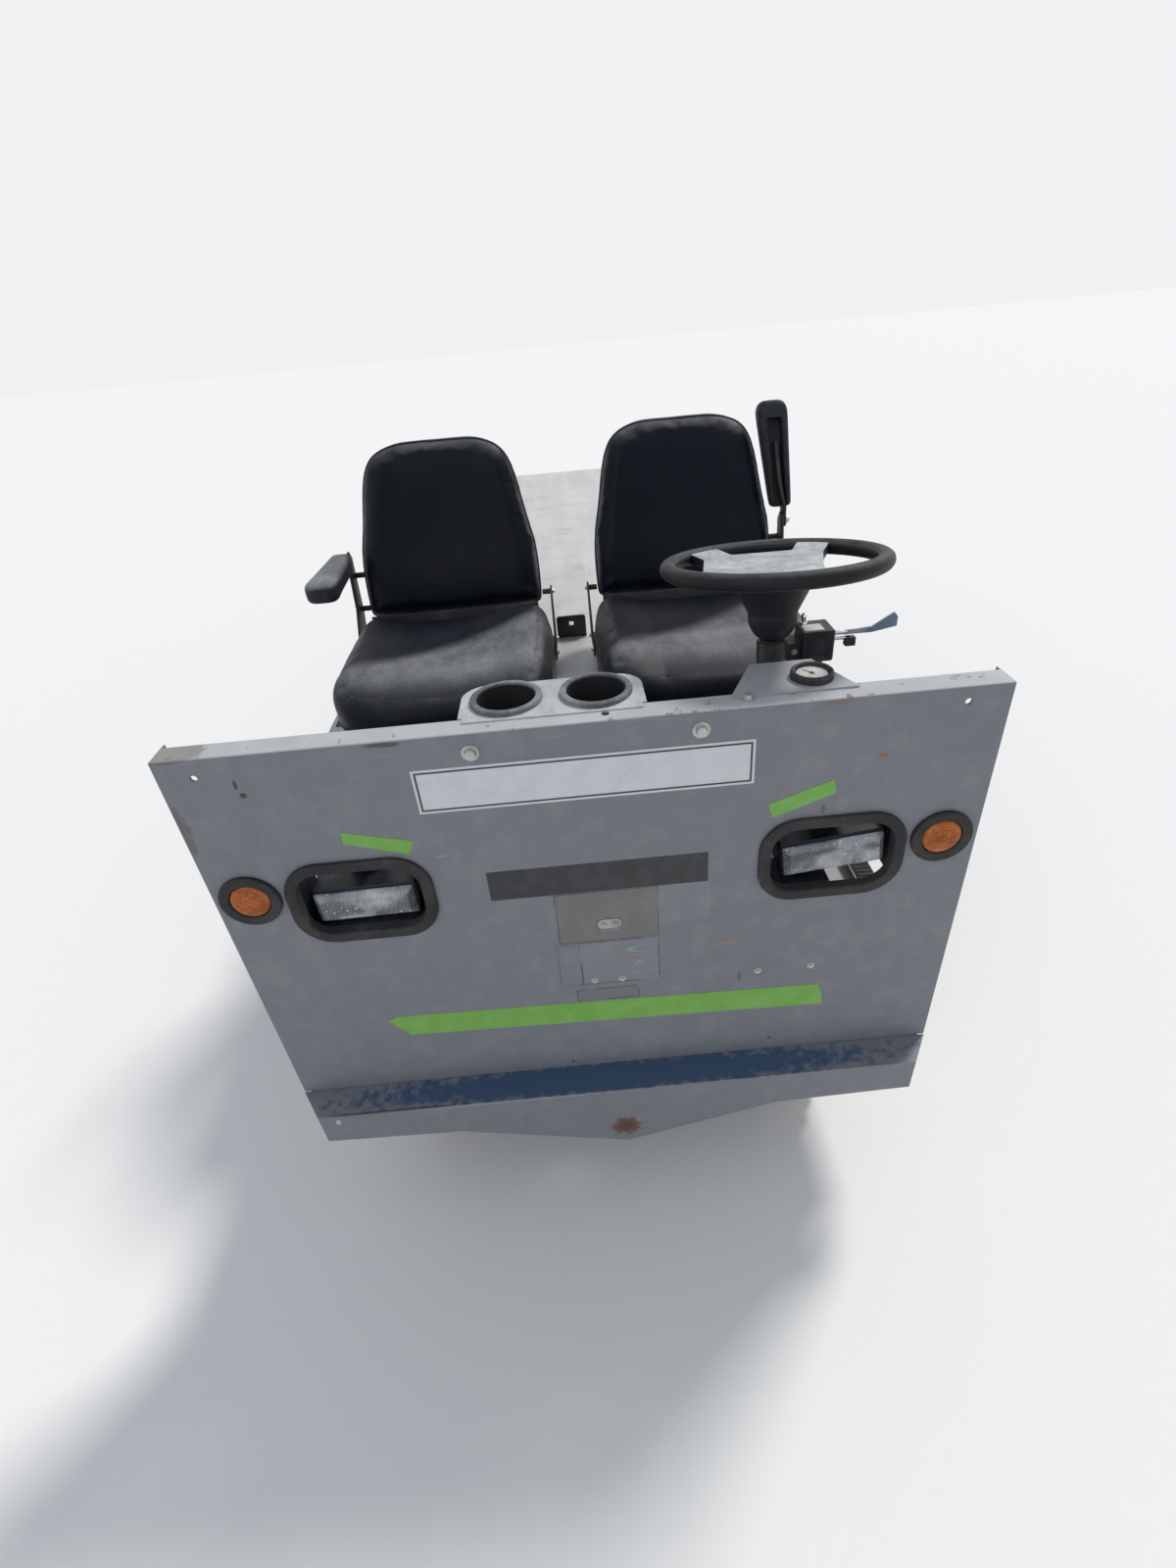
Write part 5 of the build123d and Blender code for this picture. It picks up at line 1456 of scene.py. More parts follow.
    def films(self) -> None:
        """Stick the tape, the blank label and the blank strip on."""
        edge, line = 0.004, 0.0025
        self.sheet("front_label", self.label, Finishes.label)
        x0, x1, z0, z1 = (side + edge * sign for side, sign in zip(self.label, (1, -1, 1, -1)))
        a0, a1, b0, b1 = x0 + line, x1 - line, z0 + line, z1 - line
        lines = ((x0, a0, z0, z1), (a1, x1, z0, z1), (a0, a1, z0, b0), (a0, a1, b1, z1))
        for number, sides in enumerate(lines):
            self.sheet(f"front_label_line_{number}", sides, Finishes.ink, self.film)
        self.sheet("front_name_strip", self.strip, Finishes.strip)
        tapes = {
            "tape_long": (
                (-0.394, 0.545), (-0.361, 0.503), (0.386, 0.484),
                (0.3845, 0.512), (0.3745, 0.537), (-0.3745, 0.554),
            ),
            "tape_short_right": ((-0.370, 0.944), (-0.277, 0.914), (-0.266, 0.937), (-0.3686, 0.965)),
            "tape_short_left": ((0.271, 0.9176), (0.364, 0.953), (0.359, 0.977), (0.2635, 0.943)),
        }
        for name, outline in tapes.items():
            self.stuck(name, outline, Finishes.tape)

    def fix(self) -> None:
        """Fit the bolts and rivets that show on the panel."""
        rows = (
            ("panel_bolts", ((-158, 1079), (163, 1081)), 0, 0.0085, Finishes.zinc, 16),
            ("panel_rivets", ((265, 586), (358, 587), (-20, 600), (28, 599)), 0, 0.0042, Finishes.zinc, 12),
            ("panel_latch_screws", ((4, 733), (24, 733)), -1.5, 0.0040, Finishes.steel, 6),
        )
        for name, places, y, radius, finish, sides in rows:
            screws = screws_at(((x, y, z) for x, z in places), (0, -1, 0))
            fasteners(name, screws, radius, finish, Body.CHASSIS, sides)
        oval = [(x + 0.014, z + 0.733) for x, z in rounded_rectangle(0.040, 0.020, 0.0098)]
        self.stuck("panel_latch_plate", oval, Finishes.steel, 0.0010)
        top = [Screw((0.232, self.face + 0.025, self.top), (0, 0, 1))]
        fasteners("flange_bolt", top, 0.0075, Finishes.zinc, Body.CHASSIS, sides=6)

    def build(self) -> None:
        """Dress the whole panel."""
        self.paint()
        self.films()
        self.fix()


@dataclass
class Seats:
    """Both seats: moulded cushions, high backrests with piping, and their placing in the frame."""

    lean: float = math.radians(13)
    edge_roll: float = 0.036
    points: int = 144
    piping: float = 0.0022

    def padded_form(
        self, outline: Sequence[Vector], depth: float, roll: float, under: float,
        face: Callable[[float, float], float], place: Matrix,
    ) -> bmesh.types.BMesh:
        """A closed upholstered form with a rolled edge.

        Args:
            outline: Its plan, anticlockwise.
            depth: Its thickness.
            roll: Radius of the face's edge.
            under: Radius of the back's edge.
            face: Offset of the face at (x, y) from its full thickness.
            place: Where the plan's plane goes.

        Returns:
            The form.
        """
        centre = sum(outline, Vector((0, 0))) / len(outline)
        inner = inset(outline, roll)
        rings: list[list[Vector]] = []
        for share in (0.12, 0.25, 0.4, 0.55, 0.7, 0.82, 0.92):
            ring = [centre.lerp(point, share) for point in inner]
            rings.append([Vector((p.x, p.y, depth + face(p.x, p.y))) for p in ring])
        for step in range(9):
            turn = math.radians(90 * step / 8)
            moved = inset(outline, roll * (1 - math.sin(turn)))
            drop = roll * (1 - math.cos(turn))
            rings.append([
                Vector((p.x, p.y, depth + face(q.x, q.y) - drop)) for p, q in zip(moved, inner)
            ])
        walls = [(p, depth + face(q.x, q.y) - roll) for p, q in zip(outline, inner)]
        for share in (0.33, 0.66):
            rings.append([Vector((p.x, p.y, z + (under - z) * share)) for p, z in walls])
        for step in range(4):
            turn = math.radians(90 * step / 3)
            moved = inset(outline, under * (1 - math.cos(turn)))
            rings.append([Vector((p.x, p.y, under * (1 - math.sin(turn)))) for p in moved])
        base = inset(outline, under)
        for share in (0.75, 0.4):
            rings.append([Vector((*centre.lerp(p, share), 0.0)) for p in base])
        form = bmesh.new()
        add_rings(form, [[place @ p for p in ring] for ring in rings])
        return form

    def cushion_outline(self, half: float, depth: float) -> list[Vector]:
        """The cushion's plan: nearly square at the back, round at the front; y runs rearward."""
        return rounded(
            (
                (-half, depth), (-half, 0.30 * depth), (-0.93 * half, 0.10 * depth), (-0.70 * half, 0.0),
                (0.70 * half, 0.0), (0.93 * half, 0.10 * depth), (half, 0.30 * depth), (half, depth),
                (0.82 * half, depth), (-0.82 * half, depth),
            ),
            self.points, passes=3,
        )

    def backrest_outline(self, half: float, height: float) -> list[Vector]:
        """The backrest's face: straight sides that narrow to the shoulders and a round top; y runs up."""
        shoulder = 0.90 * half
        return rounded(
            (
                (-half, 0.0), (half, 0.0), (half, 0.10 * height), (half, 0.36 * height),
                (shoulder, 0.66 * height),
                (0.79 * half, 0.915 * height), (0.50 * half, 0.998 * height), (0.2 * half, 1.004 * height),
                (-0.2 * half, 1.004 * height), (-0.50 * half, 0.998 * height), (-0.79 * half, 0.915 * height),
                (-shoulder, 0.66 * height), (-half, 0.36 * height), (-half, 0.10 * height),
            ),
            self.points, passes=3,
        )

    def stitch(self, name: str, pad: bpy.types.Object, path: Sequence[Vector]) -> None:
        """Sew a row of stitches on a pad where a closed path comes nearest its skin."""
        pitch = 0.009
        tree = BVHTree.FromObject(pad, bpy.context.evaluated_depsgraph_get())
        loop = [tree.find_nearest(point)[0] for point in path]
        stitches, left = [], 0.0
        for start, end in zip(loop, loop[1:] + loop[:1]):
            run = (end - start).length
            while left < run:
                spot = start.lerp(end, left / run)
                stitches.append(Screw(tuple(spot), tuple((end - start).normalized())))
                left += pitch
            left -= run
        repeat = Repeat(name + "_tree", Length=pitch * 0.6, Thread=0.0011)
        thread = repeat.given("Thread")
        one = repeat.cube(X=thread, Y=thread, Z=repeat.given("Length"))
        repeat.aimed(name, one, stitches, Finishes.thread, Body.LID)

    def welt(self, name: str, pad: bpy.types.Object, path: Sequence[Vector]) -> None:
        """Sew piping round a pad where a closed path comes nearest its skin."""
        bpy.context.view_layer.update()
        tree = BVHTree.FromObject(pad, bpy.context.evaluated_depsgraph_get())
        touched = []
        for point in path:
            found, normal, _, _ = tree.find_nearest(point)
            touched.append(found + normal * self.piping * 0.35)
        add_piece(name, tube(touched, self.piping, 8, closed=True), Finishes.piping, Body.LID, crease=180)

    def cushion(self, side: Side) -> None:
        """Build one seat cushion."""
        name = "cushion_" + side.name.lower()
        low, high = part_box(name)
        half, depth, thick = (high.x - low.x) / 2, high.y - low.y, high.z - low.z
        shrink = 0.003

        def face(x: float, y: float) -> float:
            u, v = abs(x) / half, y / depth
            bolster = 0.011 * smooth_step((u - 0.42) / 0.34)
            hollow = -0.013 * math.exp(-((u / 0.55) ** 2 + ((v - 0.56) / 0.26) ** 2))
            front = -0.034 * smooth_step((0.30 - v) / 0.30)
            return bolster + hollow + front - 0.0105

        place = Matrix.Translation(((low.x + high.x) / 2, low.y + shrink, low.z + 0.001))
        outline = self.cushion_outline(half - shrink, depth - 2 * shrink)
        form = self.padded_form(outline, thick - 0.002, self.edge_roll, 0.014, face, place)
        pad = add_piece(name + "_skin", form, Finishes.vinyl, Body.LID, crease=180)
        swell(pad, 0.005)

        # Partly dust and partly painted light: the diagonal rear edge of the grey top copies the backrest's
        # shadow, the grey towards the front and towards +x is the painted sunlit area, and the front roll is
        # kept dark as painted shade.
        def dust(point: Vector, normal: Vector) -> float:
            v = (point.y - low.y) / depth
            s = (point.x - low.x) / (high.x - low.x)
            top = smooth_step((normal.z - 0.55) / 0.38)
            worn = 0.05 + 0.66 * smooth_step((0.34 + 0.60 * s - v) / 0.16)
            worn *= 0.12 + 0.88 * smooth_step((v - 0.10) / 0.16)
            return top * worn + (1 - top) * (0.01 + 0.10 * smooth_step((abs(normal.x) - 0.5) / 0.4))

        rub(pad, dust)
        row = [place @ Vector((p.x, p.y, thick)) for p in inset(outline, 0.027)]
        self.stitch(name + "_stitches", pad, row)
        base = [place @ Vector((p.x, p.y, 0.20 * thick)) for p in outline]
        self.welt(name + "_base_piping", pad, base)
        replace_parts(pad, name)

    def backrest(self, side: Side) -> None:
        """Build one backrest."""
        name = "backrest_" + side.name.lower()
        low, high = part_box(name)
        half = (high.x - low.x) / 2
        tilt = self.lean
        reach, rise = high.y - low.y, high.z - low.z
        scale = math.cos(tilt) ** 2 - math.sin(tilt) ** 2
        height = (rise * math.cos(tilt) - reach * math.sin(tilt)) / scale
        thick = (reach * math.cos(tilt) - rise * math.sin(tilt)) / scale
        shrink = 0.003

        def face(x: float, y: float) -> float:
            u, v = abs(x) / half, y / height
            bolster = 0.008 * smooth_step((u - 0.40) / 0.35)
            hollow = -0.010 * math.exp(-((u / 0.5) ** 2 + ((v - 0.55) / 0.4) ** 2))
            lumbar = 0.008 * math.exp(-((v - 0.22) / 0.16) ** 2)
            top = -0.012 * smooth_step((v - 0.80) / 0.20)
            return bolster + hollow + lumbar * (1 - 0.5 * u) + top - 0.010

        up = Vector((0, math.sin(tilt), math.cos(tilt)))
        out = Vector((0, -math.cos(tilt), math.sin(tilt)))
        foot = Vector(((low.x + high.x) / 2, low.y, low.z + thick * math.sin(tilt)))
        place = Matrix.Translation(foot - out * thick) @ Matrix(((1, 0, 0), up, out)).transposed().to_4x4()
        outline = self.backrest_outline(half - shrink, height - 2 * shrink)
        lifted = place @ Matrix.Translation((0, shrink, 0.001))
        form = self.padded_form(outline, thick - 0.002, 0.042, 0.020, face, lifted)
        pad = add_piece(name + "_skin", form, Finishes.vinyl, Body.LID, crease=180)
        swell(pad, 0.005)

        # Partly dust and partly painted highlight: the lighter top roll and side edges stand for the sunlit
        # rolls of the backrest.
        def dust(point: Vector, normal: Vector) -> float:
            top = smooth_step((normal.z - 0.55) / 0.4)
            edge = smooth_step((abs(normal.x) - 0.72) / 0.2)
            return 0.003 + 0.40 * top + 0.60 * edge * smooth_step((point.z - low.z) / 0.12)

        rub(pad, dust)

        def line(path: Sequence[Vector], share: float) -> list[Vector]:
            return [place @ Vector((p.x, p.y + shrink, share * thick)) for p in path]

        self.welt(name + "_piping", pad, line(outline, 0.62))
        self.stitch(name + "_stitches", pad, line(outline, 0.72))
        self.welt(name + "_back_piping", pad, line(inset(outline, 0.010), 0.0))
        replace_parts(pad, name)

    def build(self) -> None:
        """Build both seats."""
        for side in Side:
            self.cushion(side)
            self.backrest(side)
            LOG.info("seat %s", side.name.lower())


@dataclass
class Wheels:
    """Four wheels: tyres with moulded tread blocks, hub caps and wheel nuts."""

    tread_depth: float = 0.009
    blocks: int = 34
    nut_circle: float = 0.057
    disc_face: float = 0.0082
    nuts: int = 5
    corners: tuple[tuple[str, Side, Body], ...] = (
        ("front_left", Side.LEFT, Body.FRONT_LEFT),
        ("front_right", Side.RIGHT, Body.FRONT_RIGHT),
        ("rear_left", Side.LEFT, Body.REAR_LEFT),
        ("rear_right", Side.RIGHT, Body.REAR_RIGHT),
    )

    def tread(self, name: str, place: Matrix, radius: float, half_width: float, body: Body) -> None:
        """Mould the tread blocks round a tyre.

        Args:
            name: The piece's name.
            place: The wheel's centre, its outer side along +Z.
            radius: The tyre's radius over its tread.
            half_width: Half the tyre's width.
            body: The wheel's body.
        """
        # offset across the tread, width, length, turn in degrees and phase of each row of blocks
        rows = (
            (0.62, 0.42, 0.60, 12.0, 0.0),
            (-0.62, 0.42, 0.60, -12.0, 0.5),
            (0.17, 0.26, 0.55, -28.0, 0.5),
            (-0.17, 0.26, 0.55, 28.0, 0.0),
        )
        repeat = Repeat(name + "_tree", Blocks=self.blocks, Radius=radius, Depth=self.tread_depth)
        pitch = 2 * math.pi * radius / self.blocks
        sets = []
        sunk = {0: repeat.given("Radius"), 1: self.tread_depth * 0.62}
        inner = repeat.node("ShaderNodeMath", {"operation": "SUBTRACT"}, sunk)
        circle = {"Vertices": repeat.given("Blocks"), "Radius": inner}
        flat = {0: repeat.node("GeometryNodeInputPosition"), 1: (1, 1, 0)}
        outward = repeat.node("ShaderNodeVectorMath", {"operation": "MULTIPLY"}, flat)
        face = {"axis": "X", "pivot_axis": "Z"}
        for offset, width, length, turn, phase in rows:
            ring = repeat.moved(
                repeat.node("GeometryNodeMeshCircle", None, circle),
                Translation=(0, 0, offset * half_width), Rotation=(0, 0, phase * 2 * math.pi / self.blocks),
            )
            block = repeat.cube(
                X=repeat.times(repeat.given("Depth"), 1.2), Y=length * pitch, Z=width * half_width
            )
            block = repeat.moved(block, Rotation=(math.radians(turn), 0, 0))
            faced = repeat.node("FunctionNodeAlignRotationToVector", face, {"Vector": outward})
            sets.append(repeat.copies(ring, block, faced))
        repeat.close(repeat.joined(*sets), Finishes.tyre)
        made = repeat.grow(name, bpy.data.meshes.new(name), body)
        made.data.transform(place)

    def carcass(
        self, name: str, node: str, place: Matrix, radius: float, half_width: float, body: Body
    ) -> None:
        """Turn a tyre's body, its tread band a groove's depth lower.

        Args:
            name: The piece's name.
            node: The tyre's node, which it stands for.
            place: The wheel's centre, its outer side along +Z.
            radius: The tyre's radius over its tread.
            half_width: Half its width.
            body: The wheel's body.
        """
        base, drawn_half = radius - self.tread_depth, 0.060
        half = [
            (0.104, 0.044), (0.1195, 0.045), (0.126, 0.049), (0.136, 0.0545), (0.152, 0.0585),
            (0.170, 0.0597), (0.190, 0.0590), (0.204, 0.0565), (base - 0.006, 0.0525), (base - 0.001, 0.046),
            (base, 0.030),
        ]
        profile = [(r, h * half_width / drawn_half) for r, h in half]
        profile += [(r, -h) for r, h in reversed(profile)]
        tyre = add_piece(name, hoop(profile, place, 96), Finishes.tyre, body)
        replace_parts(tyre, node)

    def hub(self, name: str, place: Matrix, body: Body) -> None:
        """Fit a hub cap and wheel nuts.

        Args:
            name: The wheel's name.
            place: The wheel's centre, its outer side along +Z.
            body: The wheel's body.
        """
        cap = (
            (0.020, 0.030), (0.026, 0.0305), (0.0265, 0.038), (0.0255, 0.050), (0.021, 0.0565),
            (0.010, 0.0585),
        )
        add_piece(name + "_hub_cap", turned(cap, place, 40), Finishes.steel, body)
        outward = (place.to_3x3() @ Vector((0, 0, 1))).normalized()
        screws = []
        for number in range(self.nuts):
            angle = 2 * math.pi * (number + 0.25) / self.nuts
            across, up = self.nut_circle * math.cos(angle), self.nut_circle * math.sin(angle)
            screws.append(Screw(tuple(place @ Vector((across, up, self.disc_face))), tuple(outward)))
        fasteners(name + "_nuts", screws, 0.0085, Finishes.zinc, body)

    def build(self) -> None:
        """Build the four wheels."""
        for corner, side, body in self.corners:
            low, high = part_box("tyre_" + corner)
            centre = (low + high) / 2
            radius, half_width = (high.z - low.z) / 2, (high.x - low.x) / 2
            place = Matrix.Translation(centre) @ Matrix.Rotation(side.value * math.radians(90), 4, "Y")
            self.carcass("tyre_body_" + corner, "tyre_" + corner, place, radius, half_width, body)
            self.tread("tyre_tread_" + corner, place, radius, half_width, body)
            self.hub("wheel_" + corner, place, body)
        LOG.info("wheels")


@dataclass
class Lamps:
    """Headlamp units on their straps, marker lamps, side reflectors and tail lamps.

    Places are millimetres across, and above the ground.
    """

    units: tuple[tuple[float, float, float], ...] = ((380.0, 818.0, -6.0), (-372.0, 806.0, -1.0))
    glass: tuple[float, float] = (0.160, 0.056)
    bevel: float = 0.009
    face_y: float = 11.0
    housing: tuple[float, float] = (0.168, 0.066)
    strap_z: tuple[float, float] = (884.0, 908.0)
    strap_half: float = 135.0
    strap_middle: float = 368.0
    strap_y: float = 10.3
    cheeks: tuple[float, float] = (96.5, -94.5)
    marker: tuple[float, float] = (537.0, 853.0)
    tail: tuple[float, float] = (470.0, 680.0)

    def prisms(self, name: str, place: Matrix) -> bpy.types.Object:
        """Mould the grid of small prisms into a lamp's glass.

        Args:
            name: The piece's name.
            place: The glass's middle, its face along +Z.

        Returns:
            The piece.
        """
        wide, high = (size - 2 * self.bevel - 0.004 for size in self.glass)
        repeat = Repeat(name + "_tree", Width=wide, Height=high, Columns=40, Rows=9, Rise=0.0011)
        labels = {"Size X": "Width", "Size Y": "Height", "Vertices X": "Columns", "Vertices Y": "Rows"}
        sizes = {key: repeat.given(label) for key, label in labels.items()}
        grid = repeat.node("GeometryNodeMeshGrid", None, sizes)
        cone = {"Vertices": 4, "Radius Top": 0.0004, "Radius Bottom": 0.0026, "Depth": repeat.given("Rise")}
        prism = repeat.node("GeometryNodeMeshCone", None, cone)
        prism = repeat.moved(prism, Rotation=(0, 0, math.radians(45)))
        repeat.close(repeat.copies(grid, prism), Finishes.glass)
        made = repeat.grow(name, bpy.data.meshes.new(name), Body.CHASSIS)
        made.data.transform(place)
        return made

    def unit(self, side: Side, x: float, z: float, turn: float) -> None:
        """Build one headlamp unit: glass, prisms, housing and the strap that hangs it.

        Args:
            side: Its side.
            x: Its middle across.
            z: Its middle's height.
            turn: How far it is turned about its own axis, in degrees.
        """
        name = "headlamp_" + side.name.lower()
        place = facing(x, self.face_y, z, turn, "Y") @ Matrix.Rotation(math.radians(90), 4, "X")
        (wide, high), bevel = self.glass, self.bevel
        inner = (wide - 2 * bevel, high - 2 * bevel)
        sections = [(inner[0] * s, inner[1] * s, 0.002 * s, 0.0) for s in (0.4, 0.8)]
        sections += [
            (inner[0] - 0.001, inner[1] - 0.001, 0.002, 0.0), (inner[0], inner[1], 0.002, -0.0004),
            (wide - 0.001, high - 0.001, 0.003, -bevel + 0.0004), (wide, high, 0.003, -bevel - 0.0004),
            (wide, high, 0.003, -0.0135),
        ]
        glass = add_piece(name + "_glass", loft(sections, place), Finishes.glass, Body.CHASSIS, crease=25)
        grid = self.prisms(name + "_prisms", place)
        (wide, high), rear, dome = self.housing, -0.071, 0.016
        body = [(wide - 0.004, high - 0.004, 0.005, -0.0125)]
        body += [(wide, high, 0.006, depth) for depth in (-0.0145, rear)]
        for step in range(1, 7):
            angle = math.radians(90 * step / 6)
            less = 2 * dome * (1 - math.cos(angle))
            body.append((wide - less, high - less, 0.006 + less / 2, rear - dome * math.sin(angle)))
        shell = add_piece(name + "_housing", loft(body, place), Finishes.housing, Body.CHASSIS)
        straps = boxes(name + "_strap", self.bracket(side, x, z), Finishes.housing, Body.CHASSIS, 0.0011)
        for piece in (glass, grid, shell, straps):
            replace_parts(piece, "headlamps")
        nuts = screws_at((x + offset, 75, self.strap_z[0] + 4) for offset in (-17, 17))
        fasteners(name + "_nuts", nuts, 0.0048, Finishes.zinc, Body.CHASSIS)

    def bracket(self, side: Side, x: float, z: float) -> list[Corners]:
        """The boxes of a headlamp's bracket: strap, its two feet, cheeks, tray and hanger.

        Args:
            side: The lamp's side.
            x: The lamp's middle across.
            z: The lamp's middle height.

        Returns:
            Two corners of each.
        """
        (low, high), half, front = self.strap_z, self.strap_half, self.strap_y
        sign, rear, plate = side.value, 80, 2.5
        middle = sign * self.strap_middle
        made = [((middle - half, front, low), (middle + half, front + 6, high))]
        for end in (-1, 1):
            made.append(((middle + end * half, 4.2, low), (middle + end * (half - 17), front + 1, high)))
        for cheek in self.cheeks:
            foot = 784 if side is Side.LEFT and cheek > 0 else 770
            inner, outer = middle + sign * cheek, middle + sign * (cheek + plate)
            made.append(((inner, front, foot), (outer, rear, low + 2)))
        tray_end = 376 if side is Side.LEFT else middle - 98
        made.append(((middle - sign * 94, front, 769.5), (tray_end, rear, 772)))
        made.append(((x - 30, front, low), (x + 30, 78, low + 4)))
        made.append(((x - 30, 72, z + 27), (x + 30, 78, low + 3)))
        return made

    def markers(self) -> None:
        """Build the round marker lamps, ringed towards their middles."""
        profile = (
            (1, 9.4), (3.2, 9.2), (4, 7.9), (6.5, 7.6), (7.5, 9), (9, 9), (10, 7.8), (12.5, 7.8), (13.5, 9),
            (15, 9), (16, 7.6), (18.5, 7.4), (19.5, 8.5), (21, 8.4), (22, 7), (25, 6.6), (27.5, 6), (29.5, 5),
            (30.6, 3), (31.2, 1), (31.2, -20),
        )
        metres = [(radius * MM, height * MM) for radius, height in profile]
        for side in Side:
            form = turned(metres, facing(side.value * self.marker[0], 0, self.marker[1], 90), 56)
            lens = add_piece("marker_lens_" + side.name.lower(), form, Finishes.amber, Body.CHASSIS, 40)
            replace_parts(lens, "amber_lenses")

    def reflectors(self) -> None:
        """Build the flat reflectors on the skirts' front ends."""
        corners = [((side.value * 595, 536, 730), (side.value * 598, 686, 778)) for side in Side]
        reflectors = boxes("side_reflectors", corners, Finishes.amber, Body.CHASSIS, 0.0012)
        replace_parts(reflectors, "amber_lenses")

    def tails(self) -> None:
        """Build the tail lamps: rubber rings and ringed red lenses."""
        ring = (
            (0.040, -0.006), (0.040, 0.009), (0.0415, 0.0115), (0.0445, 0.0118), (0.047, 0.0095),
            (0.048, 0.005), (0.048, 0.0),
        )
        profile = (
            (0.001, 0.0095), (0.006, 0.0094), (0.007, 0.0082), (0.0105, 0.008), (0.0115, 0.0092),
            (0.015, 0.009), (0.016, 0.0076), (0.0195, 0.0072), (0.0205, 0.0084), (0.024, 0.008),
            (0.025, 0.0066), (0.0285, 0.006), (0.0295, 0.007), (0.033, 0.0062), (0.0375, 0.0042),
            (0.0395, 0.002), (0.0397, -0.018),
        )
        for side in Side:
            name, place = side.name.lower(), facing(side.value * self.tail[0], 3430, self.tail[1], -90)
            lens = add_piece("tail_lens_" + name, turned(profile, place, 56), Finishes.red, Body.CHASSIS, 40)
            rubber = add_piece("tail_ring_" + name, hoop(ring, place, 56), Finishes.rubber, Body.CHASSIS, 60)
            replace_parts(lens, "tail_lamps")
            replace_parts(rubber, "tail_lamps")

    def build(self) -> None:
        """Build all lamps."""
        for side, (x, z, turn) in zip(Side, self.units):
            self.unit(side, x, z, turn)
        clips = screws_at(((x, self.strap_y, 891) for x in (333, 430)), (0, -1, 0))
        fasteners("headlamp_strap_screws", clips, 0.0036, Finishes.chrome, Body.CHASSIS, sides=12)
        self.markers()
        self.reflectors()
        self.tails()
        LOG.info("lamps")


@dataclass
class Controls:
    """Cup console, gauge, steering wheel and direction switch."""

    cups: tuple[tuple[float, float], ...] = ((-107.0, 86.0), (24.0, 86.0))
    gauge: tuple[float, float] = (333.0, 66.0)
    wheel_centre: tuple[float, float, float] = (320.0, 250.0, 1223.0)
    tilt: float = math.radians(8.6)

    def console(self) -> None:
        """Dress the console and fit the dark rings of its cups."""
        spots = tuple((at(x, y, 0).x, at(x, y, 0).y) for x, y in self.cups)
        dress_node("cup_console", ConsolePlastic("cup_console_plastic", cups=spots))
        section = (
            (0.0434, -0.001), (0.0434, 0.0028), (0.0448, 0.0040), (0.0500, 0.0040), (0.0524, 0.0030),
            (0.0532, 0.0008), (0.0532, -0.0045),
        )
        for number, (x, y) in enumerate(self.cups):
            place = Matrix.Translation(at(x, y, 1115))
            add_piece(f"cup_ring_{number}", hoop(section, place, 72), Finishes.cup_ring, Body.CHASSIS, 40)

    def dial(self) -> None:
        """Fit the gauge's bezel, face and needle."""
        centre = at(*self.gauge, 0)
        section = (
            (0.0236, 0.0), (0.0236, 0.0085), (0.0250, 0.0108), (0.0278, 0.0115), (0.0298, 0.0100),
            (0.0305, 0.0070), (0.0305, 0.0),
        )
        bezel = Matrix.Translation(at(*self.gauge, 1113))
        add_piece("gauge_bezel", hoop(section, bezel, 56), Finishes.plastic, Body.CHASSIS, 40)
        disc = ((0.004, 0.0008), (0.0232, 0.0008), (0.0234, 0.0))
        face = turned(disc, Matrix.Translation(at(*self.gauge, 1118.1)))
        finish = DialFace("gauge_dial_face", centre=(centre.x, centre.y, 0.0))
        add_piece("gauge_face", face, finish, Body.CHASSIS)
        needle = facing(*self.gauge, 1119.1, 38, "Z")
        outline = ((-0.0010, -0.005), (0.0010, -0.005), (0.0005, 0.016), (-0.0005, 0.016))
        add_piece("gauge_needle", slab(outline, needle, 0.0004), Finishes.ink, Body.CHASSIS)
        hub = turned(((0.0012, 0.0014), (0.0028, 0.0010), (0.0032, 0.0)), needle, 20)
        add_piece("gauge_hub", hub, Finishes.ink, Body.CHASSIS)

    def steering(self) -> None:
        """Dress the steering wheel."""
        axis = (0.0, math.sin(self.tilt), math.cos(self.tilt))
        foam = WheelFoam("steering_wheel_foam", centre=tuple(at(*self.wheel_centre)), axis=axis)
        dress_node("steering_wheel", foam)

    def switch(self) -> None:
        """Fit the blank plate, the stud and the screw of the direction switch."""
        plate = [((367, 212, 1119.6), (398, 237, 1120.7))]
        boxes("switch_plate", plate, Finishes.bright_plate, Body.CHASSIS, 0.0004)
        stud = (
            (0.001, 0.0170), (0.0032, 0.0162), (0.0046, 0.0140), (0.0050, 0.0110), (0.0036, 0.0085),
            (0.0034, 0.0020), (0.0062, 0.0015), (0.0066, 0.0),
        )
        form = turned(stud, Matrix.Translation(at(374, 246, 1120)), 28)
        add_piece("switch_stud", form, Finishes.chrome, Body.CHASSIS)
        screw = screws_at([(352, 211.8, 1086)], (0, -1, 0))
        fasteners("switch_screw", screw, 0.0034, Finishes.steel, Body.CHASSIS, sides=12)

    def build(self) -> None:
        """Build the controls."""
        self.console()
        self.dial()
        self.steering()
        self.switch()
        LOG.info("controls")


